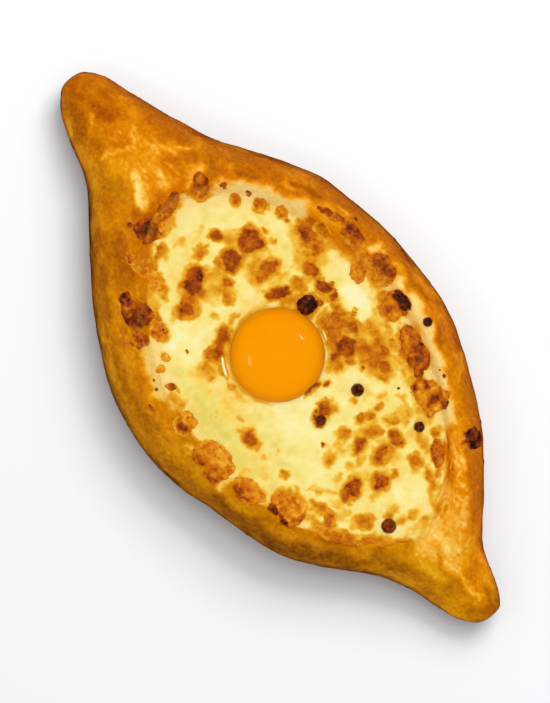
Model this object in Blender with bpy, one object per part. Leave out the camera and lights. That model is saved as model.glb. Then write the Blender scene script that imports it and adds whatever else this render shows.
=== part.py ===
"""Khachapuri: a boat of bread filled with baked cheese, with an egg yolk set in the cheese.

The bread is one solid with a rolled rim, two solid noses and a hollow. Cheese fills the hollow, the yolk
sits in the cheese, and lumps of cheese that browned on the rim and beside it are a solid each.
Metres, +Z up. The boat lies along X on its flat base at Z 0, and its box is centred on the Z axis.
Shapes are worked out about the keel line, which runs from tip to tip, and an empty carries them all.
"""

import math

import bmesh
import bpy
import numpy as np
from mathutils import Matrix, Vector

MM = 0.001
GAP = 0.35 * MM  # between pieces that touch
SWELL = 0.55 * MM  # of the low swells on bread and cheese

# Bread
LENGTH = 266 * MM
TIP_ROUND = 12 * MM
SIDE_HEIGHT = 9.5 * MM  # where the side bulges furthest
RIM_ROLL = 12 * MM  # from the outline in to the crest of the rim
UNDER_ROLL = 8 * MM  # from the outline in to the flat base
ROLL_POWER = 2.2
MOST_RIM_SHARE = 0.92  # of the half width that the roll of the rim takes in a narrow nose
MOST_UNDER_SHARE = 0.8
NOSE_LIFT = 2.5 * MM
NOSE_LIFT_FROM = 108 * MM
# Stations along the boat: x, half width on the -Y side, half width on the +Y side, height of the crest.
BOAT_MM = (
    (-133, 7.5, 7.5, 16.0),
    (-116, 14.8, 14.0, 22.0),
    (-99, 19.6, 20.3, 26.5),
    (-82, 30.6, 28.4, 29.0),
    (-58, 47.3, 44.0, 30.0),
    (-47, 53.8, 51.0, 29.5),
    (-29, 61.8, 56.6, 29.0),
    (0, 66.8, 60.6, 28.5),
    (29, 61.8, 59.4, 29.0),
    (58, 52.3, 48.6, 29.5),
    (75, 41.2, 39.6, 29.0),
    (92, 25.2, 27.0, 26.5),
    (105, 17.8, 16.4, 23.0),
    (118, 13.2, 10.6, 19.0),
    (133, 7.5, 6.5, 14.0),
)
STATION_STEP = 4.8 * MM
TIP_STATIONS = 6
TOP_POINTS = 13  # of a section, from each edge in to the lip of the pool or to the middle of a nose
TOP_CROWDING = 1.5  # above 1 draws the points towards the rolled rim
BASE_POINTS = 5

# Hollow and cheese
POOL_HALF_LENGTH = 77 * MM
POOL_HALF_WIDTH = 45 * MM
POOL_POWER = 1.8  # 2 is an ellipse, and less is more pointed
POOL_PLACE = (11 * MM, -1.5 * MM)
POOL_TURN = math.radians(-2)
LIP_HEIGHT = 19.5 * MM  # of the bread where the cheese meets it
SLOPE_WIDTH = 10 * MM  # from the lip out to the crest
FLOOR_HEIGHT = 8 * MM
CHEESE_HEIGHT = 20.3 * MM
# The hollow's wall from the floor up, in mm: how far inside the pool's edge, and how far above the floor.
WALL_MM = ((9, 0), (5, 1.5), (2.5, 4.5), (0.5, 8.5))
# The cheese's top from its edge inwards, in mm: how far inside the pool's edge, and how far below its top.
TOP_MM = ((0.65, 1.2), (1.2, 0.3), (4, 0), (10, 0), (17, 0), (25, 0), (34, 0))
CUTTER_RISE = 15 * MM  # of the hollow's cutter above the lip
POOL_SEGMENTS = 56
LIP_MARGIN = 0.7 * MM  # of flat lip round the hollow
LIP_SAMPLES = 120

# Yolk
YOLK_RADIUS = 18.5 * MM
YOLK_HALF_HEIGHT = 8.2 * MM
YOLK_PLACE = (1.6 * MM, -3 * MM)
NEST_RADIUS = 27 * MM
NEST_DEPTH = 1.3 * MM

# Browned lumps of cheese, in mm and degrees: x, y, length, width, turn and height above what they lie on.
CURD_LUMPS = (
    (-46.0, -35.8, 17.0, 11.5, -14, 2.4),
    (-68.5, -13.5, 9.5, 9.0, 20, 2.2),
    (-67.0, 14.7, 10.0, 8.5, 50, 1.6),
    (-17.5, 49.0, 12.0, 7.0, -8, 1.8),
    (-0.5, 49.8, 13.5, 10.0, 0, 2.0),
    (14.6, 45.8, 11.0, 13.5, 0, 2.2),
    (32.0, 40.5, 22.0, 9.5, -28, 2.0),
    (51.0, 33.5, 15.5, 12.0, -20, 2.2),
    (74.0, 37.0, 10.5, 8.0, -38, 1.6),
    (51.7, -37.0, 15.0, 13.5, 20, 2.4),
    (35.3, -45.3, 14.0, 8.5, 12, 2.0),
    (18.5, -48.3, 17.5, 11.5, 5, 2.2),
    (0.0, -48.8, 9.5, 7.5, 0, 1.8),
    (-6.7, 17.4, 8.0, 9.0, 20, 2.4),
    (-35.7, -41.0, 8.0, 7.0, 60, 1.7),
)
LUMP_EDGE = 0.4 * MM  # deeper, so that a lump's edge is steep where it meets what it lies on
LOBES = ((3, 0.09), (5, 0.06))  # how many round a lump, and how far they stand out as a share of its radius
LUMP_FOOT = 3 * MM  # the reach over which a lump takes its slope from what it lies on
FILLER_DEPTH = 4 * MM
FILLER_REACH = 0.6 * MM

CRUST = ((0.62, 0.26, 0.035, 1.0), 0.42)
CHEESE = ((0.88, 0.74, 0.36, 1.0), 0.35)
YOLK = ((0.95, 0.38, 0.01, 1.0), 0.12)
BROWNED = ((0.34, 0.10, 0.02, 1.0), 0.5)


def stations(column):
    """One column of BOAT_MM with the x of its rows, in metres."""
    rows = np.array(BOAT_MM) * MM
    return rows[:, 0], rows[:, column]


def smooth_curve(xs, ys, x):
    """The smooth curve through the points xs, ys, at x: cubic pieces that share their slopes."""
    slopes = np.gradient(ys, xs)
    i = np.clip(np.searchsorted(xs, x) - 1, 0, len(xs) - 2)
    step = xs[i + 1] - xs[i]
    t = (x - xs[i]) / step
    start = (1 + 2 * t) * (1 - t) ** 2 * ys[i] + t * (1 - t) ** 2 * step * slopes[i]
    end = t**2 * (3 - 2 * t) * ys[i + 1] - t**2 * (1 - t) * step * slopes[i + 1]
    return start + end


def smooth_step(t):
    t = np.clip(t, 0, 1)
    return t * t * (3 - 2 * t)


def tip_share(x):
    """What the rounding of a tip leaves of the width: 1 along the boat and 0 at each tip."""
    into_tip = np.clip((np.abs(x) - (LENGTH / 2 - TIP_ROUND)) / TIP_ROUND, 0, 1)
    return np.sqrt(1 - into_tip**2)


def edges(x):
    """The y of both edges of the boat at x: the -Y side and the +Y side."""
    share = tip_share(x)
    near = -smooth_curve(*stations(1), x) * share
    far = smooth_curve(*stations(2), x) * share
    return near, far


def station_places():
    """The x of each section, closer together in the rounded tips and at the ends of the pool."""
    straight = LENGTH / 2 - TIP_ROUND
    count = round(2 * straight / STATION_STEP)
    middle = np.linspace(-straight, straight, count + 1)
    between = (middle[1:] + middle[:-1]) / 2
    pool_ends = np.abs(np.abs(between - POOL_PLACE[0]) - POOL_HALF_LENGTH - SLOPE_WIDTH / 3)
    angles = np.linspace(0, math.pi / 2, TIP_STATIONS + 1)[1:-1]
    tip = straight + TIP_ROUND * np.sin(angles)
    return np.sort(np.concatenate([-tip, middle, between[pool_ends < SLOPE_WIDTH], tip]))


def outline():
    """The boat's outline as a closed row of points about the keel line."""
    x = station_places()
    near, far = edges(x)
    tips = np.array([[-LENGTH / 2, 0.0], [LENGTH / 2, 0.0]])
    low = np.column_stack([x, near])
    high = np.column_stack([x, far])[::-1]
    return np.concatenate([tips[:1], low, tips[1:], high])


def pool_radius(angle, inset=0.0):
    """How far the pool's edge is from its middle along each axis, at this angle of its outline."""
    c, s = np.cos(angle), np.sin(angle)
    along = (POOL_HALF_LENGTH - inset) * np.sign(c) * np.abs(c) ** (2 / POOL_POWER)
    across = (POOL_HALF_WIDTH - inset) * np.sign(s) * np.abs(s) ** (2 / POOL_POWER)
    return along, across


def in_pool_frame(x, y):
    """A place about the keel line, as the turned pool sees it from its middle."""
    dx, dy = x - POOL_PLACE[0], y - POOL_PLACE[1]
    c, s = math.cos(POOL_TURN), math.sin(POOL_TURN)
    return c * dx + s * dy, c * dy - s * dx


def to_keel(along, across):
    """A place in the turned pool, as it lies about the keel line."""
    c, s = math.cos(POOL_TURN), math.sin(POOL_TURN)
    return POOL_PLACE[0] + c * along - s * across, POOL_PLACE[1] + s * along + c * across


def distance_to(points, line):
    """The distance of each point to the closed line through the line's points."""
    start, end = line, np.roll(line, -1, axis=0)
    run = end - start
    offset = points[:, None] - start
    along = (offset * run).sum(2) / (run**2).sum(1)
    nearest = offset - np.clip(along, 0, 1)[..., None] * run
    return np.sqrt((nearest**2).sum(2)).min(1)


def outside_pool(x, y):
    """How far a place is outside the pool's edge, and 0 inside it."""
    along, across = in_pool_frame(x, y)
    ring = np.column_stack(pool_radius(np.linspace(0, 2 * math.pi, LIP_SAMPLES + 1)[:-1]))
    away = distance_to(np.column_stack([along, across]), ring)
    shares = np.abs(along) / POOL_HALF_LENGTH, np.abs(across) / POOL_HALF_WIDTH
    level = sum(share**POOL_POWER for share in shares)
    return np.where(level > 1, away, 0)


def unevenness(x, y):
    """Low swells of the dough, from -1 to 1."""
    long_swell = np.sin(x / (13 * MM) + 1.1) * np.cos(y / (17 * MM) + 0.4)
    short_swell = np.sin(x / (7 * MM) - y / (11 * MM) + 2.0)
    return 0.65 * long_swell + 0.35 * short_swell


def roll(share):
    """The height of a rounded edge, from 0 to 1, at a share of its width."""
    return (1 - (1 - np.clip(share, 0, 1)) ** ROLL_POWER) ** (1 / ROLL_POWER)


def nose_lift(x):
    into_nose = np.clip((np.abs(x) - NOSE_LIFT_FROM) / (LENGTH / 2 - NOSE_LIFT_FROM), 0, 1)
    return NOSE_LIFT * into_nose**2


def half_width(x):
    """Half the boat's width, before the tips are rounded."""
    return (smooth_curve(*stations(1), x) + smooth_curve(*stations(2), x)) / 2


def bread_top(x, y, from_edge):
    """The height of the bread's top: rolled at the outline, and sloping in to the lip of the pool."""
    x = np.broadcast_to(x, np.shape(y))
    side = SIDE_HEIGHT + nose_lift(x)
    share = roll(from_edge / np.minimum(RIM_ROLL, MOST_RIM_SHARE * half_width(x)))
    swell = SWELL * unevenness(x, y) * share
    rolled = side + (smooth_curve(*stations(3), x) - SIDE_HEIGHT) * share + swell
    return LIP_HEIGHT + (rolled - LIP_HEIGHT) * smooth_step(outside_pool(x, y) / SLOPE_WIDTH)


def bread_base(x, from_edge):
    """The height of the bread's underside: flat, and rounded up to the outline."""
    side = SIDE_HEIGHT + nose_lift(x)
    share = roll(from_edge / np.minimum(UNDER_ROLL, MOST_UNDER_SHARE * half_width(x)))
    return nose_lift(x) + (side - nose_lift(x)) * (1 - share)


def cheese_top(x, y):
    """The height of the cheese: low swells, and a shallow nest round the yolk."""
    away = np.hypot(x - YOLK_PLACE[0], y - YOLK_PLACE[1])
    nest = NEST_DEPTH * (1 - smooth_step(away / NEST_RADIUS))
    return CHEESE_HEIGHT + SWELL * unevenness(1.3 * x, 1.4 * y) - nest


def new_object(name, mesh, collection):
    obj = bpy.data.objects.new(name, mesh)
    collection.objects.link(obj)
    return obj


def mesh_from(bm, name):
    """A mesh of what bm holds, shaded smooth where its faces nearly line up."""
    bmesh.ops.recalc_face_normals(bm, faces=bm.faces)
    mesh = bpy.data.meshes.new(name)
    bm.to_mesh(mesh)
    bm.free()
    mesh.shade_smooth()
    mesh.set_sharp_from_angle(angle=math.radians(50))
    return mesh


def inner_ends(x):
    """The y that the top points of a section run in to, from either edge.

    That is the lip of the pool on each side. In a nose both are the line that the pool's tip points along,
    at the share of the width where that tip is.
    """
    half_turn = np.linspace(0, math.pi, LIP_SAMPLES)
    lips = [to_keel(*pool_radius(math.pi + way * half_turn, -LIP_MARGIN)) for way in (1, -1)]
    held = np.clip(x, lips[0][0][0], lips[0][0][-1])
    near, far = edges(held)
    shares = [(np.interp(held, lip_x, lip_y) - near) / (far - near) for lip_x, lip_y in lips]
    near, far = edges(x)
    return [near + (far - near) * share for share in shares]


def section(x, line):
    """One section of the loaf as a closed row of (y, z): over the top from the -Y edge, and back underneath."""
    near, far = edges(x)
    near_in, far_in = inner_ends(x)
    inward = np.linspace(0, 1, TOP_POINTS) ** TOP_CROWDING
    top = np.concatenate([near + (near_in - near) * inward, (far + (far_in - far) * inward)[::-1]])
    under = (np.arange(1, BASE_POINTS) / BASE_POINTS) ** 2 / 2
    base = near + (far - near) * np.concatenate([1 - under, [0.5], under[::-1]])
    top_z = bread_top(x, top, distance_to(np.column_stack([np.full_like(top, x), top]), line))
    base_z = bread_base(x, distance_to(np.column_stack([np.full_like(base, x), base]), line))
    return list(zip(np.concatenate([top, base]), np.concatenate([top_z, base_z])))


def loaf_mesh():
    """The bread before its hollow is cut: sections across the boat, joined along it to a point at each tip."""
    line = outline()
    bm = bmesh.new()
    rings = [[bm.verts.new((x, y, z)) for y, z in section(x, line)] for x in station_places()]
    for first, second in zip(rings, rings[1:]):
        for a, b, c, d in zip(first, first[1:] + first[:1], second[1:] + second[:1], second):
            bm.faces.new((a, b, c, d))
    for ring, x in ((rings[0], -LENGTH / 2), (rings[-1], LENGTH / 2)):
        tip = bm.verts.new((x, 0, SIDE_HEIGHT + NOSE_LIFT))
        for a, b in zip(ring, ring[1:] + ring[:1]):
            bm.faces.new((a, b, tip))
    bmesh.ops.remove_doubles(bm, verts=bm.verts, dist=0.01 * MM)
    bmesh.ops.triangulate(bm, faces=bm.faces, quad_method="BEAUTY")
    return mesh_from(bm, "bread")


def pool_mesh(name, profile):
    """A round cake of the pool's outline: a sphere whose rings are laid on a profile of (inset, height).

    The first and last rows of the profile are the middle of the underside and of the top.
    """
    bm = bmesh.new()
    bmesh.ops.create_uvsphere(bm, u_segments=POOL_SEGMENTS, v_segments=len(profile) - 1, radius=1)
    for vert in bm.verts:
        polar = math.acos(max(-1, min(1, -vert.co.z)))
        inset, height = profile[round(polar / math.pi * (len(profile) - 1))]
        if inset is None:
            vert.co = Vector((0, 0, height))
            continue
        along, across = pool_radius(math.atan2(vert.co.y, vert.co.x), inset)
        vert.co = Vector((along, across, height))
    return mesh_from(bm, name)


def pool_object(name, profile, collection):
    obj = new_object(name, pool_mesh(name, profile), collection)
    obj.location = (*POOL_PLACE, 0)
    obj.rotation_euler.z = POOL_TURN
    return obj


def wall_profile(gap):
    """The floor and wall of the hollow, or of what fills it but for a gap all round."""
    floor = FLOOR_HEIGHT + gap
    wall = [(inset * MM + gap, floor + rise * MM) for inset, rise in WALL_MM]
    return [(None, floor), *wall]


def make_hollow_cutter(collection):
    """What the hollow takes out of the bread: the pool with sloping walls, open at the top."""
    above = LIP_HEIGHT + CUTTER_RISE
    return pool_object("hollow_cutter", [*wall_profile(0), (0, above), (None, above)], collection)


def make_cheese(collection):
    """The cheese: it fits the hollow, a gap smaller all round, with low swells on its top."""
    top = [(inset * MM, CHEESE_HEIGHT - below * MM) for inset, below in TOP_MM]
    cheese = pool_object("cheese", [*wall_profile(GAP), *top, (None, CHEESE_HEIGHT)], collection)
    for vert in cheese.data.vertices:
        if vert.co.z > LIP_HEIGHT:
            x, y = to_keel(vert.co.x, vert.co.y)
            vert.co.z += float(cheese_top(x, y)) - CHEESE_HEIGHT
    return cheese


def make_joint_filler(collection):
    """Fills the joint between cheese and bread, so that no curd lump runs down into it."""
    top = CHEESE_HEIGHT + GAP
    bottom = LIP_HEIGHT - FILLER_DEPTH
    return pool_object(
        "joint_filler", [(None, bottom), (-FILLER_REACH, bottom), (-FILLER_REACH, top), (None, top)], collection
    )


def make_yolk(name, grown, collection):
    """The yolk, a flattened ball sunk half way into the cheese, grown by some margin all round."""
    bm = bmesh.new()
    bmesh.ops.create_uvsphere(bm, u_segments=32, v_segments=12, radius=1)
    wide, high = YOLK_RADIUS + grown, YOLK_HALF_HEIGHT + grown
    bmesh.ops.scale(bm, vec=(wide, wide, high), verts=bm.verts)
    yolk = new_object(name, mesh_from(bm, name), collection)
    yolk.location = (*YOLK_PLACE, CHEESE_HEIGHT)
    return yolk


def surface_height(x, y):
    """The height of what a curd lump lies on, cheese or bread."""
    x, y = np.atleast_1d(x), np.atleast_1d(y)
    bread = bread_top(x, y, distance_to(np.column_stack([x, y]), outline()))
    return float(np.where(outside_pool(x, y) > 0, bread, cheese_top(x, y))[0])


def surface_normal(x, y, reach):
    """The way up from what lies within reach of this place."""
    rise_x = surface_height(x + reach, y) - surface_height(x - reach, y)
    rise_y = surface_height(x, y + reach) - surface_height(x, y - reach)
    return Vector((-rise_x, -rise_y, 2 * reach)).normalized()


def make_curd_lump(name, lump, collection):
    """A lobed, flattened ball along the slope that it lies on. What is below that surface is cut off later."""
    x, y, length, width, turn, height = lump
    bm = bmesh.new()
    bmesh.ops.create_uvsphere(bm, u_segments=14, v_segments=7, radius=1)
    for vert in bm.verts:
        angle = math.atan2(vert.co.y, vert.co.x)
        lobes = 1 + sum(size * math.sin(count * angle + x) for count, size in LOBES)
        vert.co.x *= lobes * length * MM / 2
        vert.co.y *= lobes * width * MM / 2
        vert.co.z *= height * MM + LUMP_EDGE
    curd = new_object(name, mesh_from(bm, name), collection)
    x, y = x * MM, y * MM
    up = surface_normal(x, y, LUMP_FOOT)
    tilt = Vector((0, 0, 1)).rotation_difference(up)
    curd.location = (x, y, surface_height(x, y))
    curd.rotation_euler = (tilt.to_matrix() @ Matrix.Rotation(math.radians(turn), 3, "Z")).to_euler()
    return curd


def cut(obj, cutter):
    """Takes the cutter's shape out of obj. The cutter is an object, or a collection of them."""
    modifier = obj.modifiers.new("Cut", "BOOLEAN")
    modifier.operation = "DIFFERENCE"
    modifier.solver = "EXACT"
    if isinstance(cutter, bpy.types.Collection):
        modifier.operand_type = "COLLECTION"
        modifier.collection = cutter
    else:
        modifier.object = cutter


def finish_mesh(obj):
    """Gives obj the mesh that its modifiers make, and takes them off."""
    bpy.context.view_layer.update()
    evaluated = obj.evaluated_get(bpy.context.evaluated_depsgraph_get())
    obj.data = bpy.data.meshes.new_from_object(evaluated)
    obj.modifiers.clear()


def paint(obj, look):
    colour, roughness = look
    material = bpy.data.materials.new(obj.name)
    material.use_nodes = True
    shader = material.node_tree.nodes["Principled BSDF"]
    shader.inputs["Base Color"].default_value = colour
    shader.inputs["Roughness"].default_value = roughness
    shader.inputs["Metallic"].default_value = 0.0
    obj.data.materials.clear()
    obj.data.materials.append(material)


def new_collection(name):
    collection = bpy.data.collections.new(name)
    bpy.context.scene.collection.children.link(collection)
    return collection


def raised_copy(obj, collection):
    """A copy of obj a gap higher, which leaves that gap under what it cuts."""
    copy = new_object(obj.name + "_raised", obj.data, collection)
    copy.matrix_world = Matrix.Translation((0, 0, GAP)) @ obj.matrix_world
    return copy


def hide(collection):
    for obj in collection.objects:
        obj.hide_render = True
        obj.display_type = "WIRE"


def main():
    for obj in list(bpy.data.objects):
        bpy.data.objects.remove(obj)
    parts = new_collection("khachapuri")
    cutters = new_collection("cutters")
    seats = new_collection("seats")

    bread = new_object("bread", loaf_mesh(), parts)
    cut(bread, make_hollow_cutter(cutters))
    cheese = make_cheese(parts)
    yolk = make_yolk("yolk", 0, parts)
    nest_cutter = make_yolk("yolk_cutter", GAP, cutters)
    seats.objects.link(nest_cutter)
    cut(cheese, nest_cutter)
    for obj in (bread, cheese):
        finish_mesh(obj)
    bpy.context.view_layer.update()
    for obj in (bread, cheese):
        raised_copy(obj, seats)
    make_joint_filler(seats)
    curds = []
    for number, lump in enumerate(CURD_LUMPS, 1):
        curd = make_curd_lump(f"browned_curd_{number:02d}", lump, parts)
        cut(curd, seats)
        finish_mesh(curd)
        curds.append(curd)
    hide(cutters)
    hide(seats)

    for obj, look in ((bread, CRUST), (cheese, CHEESE), (yolk, YOLK), *((c, BROWNED) for c in curds)):
        paint(obj, look)
    keel = new_object("keel", None, parts)
    line = outline()
    keel.location.y = -(line[:, 1].min() + line[:, 1].max()) / 2
    for obj in (bread, cheese, yolk, *curds):
        obj.parent = keel


main()
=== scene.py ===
"""Khachapuri: the looks of one boat of bread with baked cheese, an egg yolk and browned lumps of cheese.

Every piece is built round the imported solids, in metres, and lies where they lie. Places on the top are given
in millimetres from the middle of the keel line, which runs from tip to tip, with X towards the narrower nose.
"""

import logging
import math
from dataclasses import dataclass, replace
from enum import Enum

import bmesh
import bpy
import numpy as np
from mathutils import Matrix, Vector
from mathutils.bvhtree import BVHTree
from mathutils.geometry import convex_hull_2d


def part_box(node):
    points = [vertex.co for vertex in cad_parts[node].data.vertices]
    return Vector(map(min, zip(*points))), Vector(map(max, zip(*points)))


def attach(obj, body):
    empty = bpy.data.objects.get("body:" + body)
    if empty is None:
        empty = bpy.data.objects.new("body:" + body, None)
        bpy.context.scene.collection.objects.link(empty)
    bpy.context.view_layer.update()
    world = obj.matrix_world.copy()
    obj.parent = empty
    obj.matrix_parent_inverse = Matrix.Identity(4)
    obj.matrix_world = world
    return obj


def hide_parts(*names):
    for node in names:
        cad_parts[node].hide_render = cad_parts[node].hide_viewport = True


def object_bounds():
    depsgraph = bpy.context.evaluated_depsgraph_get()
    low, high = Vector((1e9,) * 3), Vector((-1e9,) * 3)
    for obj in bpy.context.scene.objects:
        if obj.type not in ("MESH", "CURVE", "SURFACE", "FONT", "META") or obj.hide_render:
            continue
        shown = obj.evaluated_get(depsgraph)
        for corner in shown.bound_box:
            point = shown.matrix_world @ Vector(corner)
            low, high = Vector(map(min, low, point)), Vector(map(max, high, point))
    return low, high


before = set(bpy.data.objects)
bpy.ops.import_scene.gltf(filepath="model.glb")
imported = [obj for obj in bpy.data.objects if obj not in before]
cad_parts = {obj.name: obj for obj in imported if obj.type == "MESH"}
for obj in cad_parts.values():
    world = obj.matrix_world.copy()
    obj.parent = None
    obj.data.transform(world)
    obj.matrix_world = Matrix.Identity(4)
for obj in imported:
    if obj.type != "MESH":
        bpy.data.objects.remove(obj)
CAD_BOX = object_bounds()

MM = 0.001
BODY = "root"
YOLK_FROM_KEEL = (1.6, -3.0)  # mm
LOG = logging.getLogger("khachapuri")

Colour = tuple[float, float, float]


class Doneness(Enum):
    """How far a place has baked, from pale dough or cheese to char."""

    PALE = 0.05
    LIGHT = 0.22
    GOLDEN = 0.36
    ORANGE = 0.5
    BROWNED = 0.64
    DARK = 0.75
    BURNT = 0.87
    CHARRED = 1.0


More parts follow.
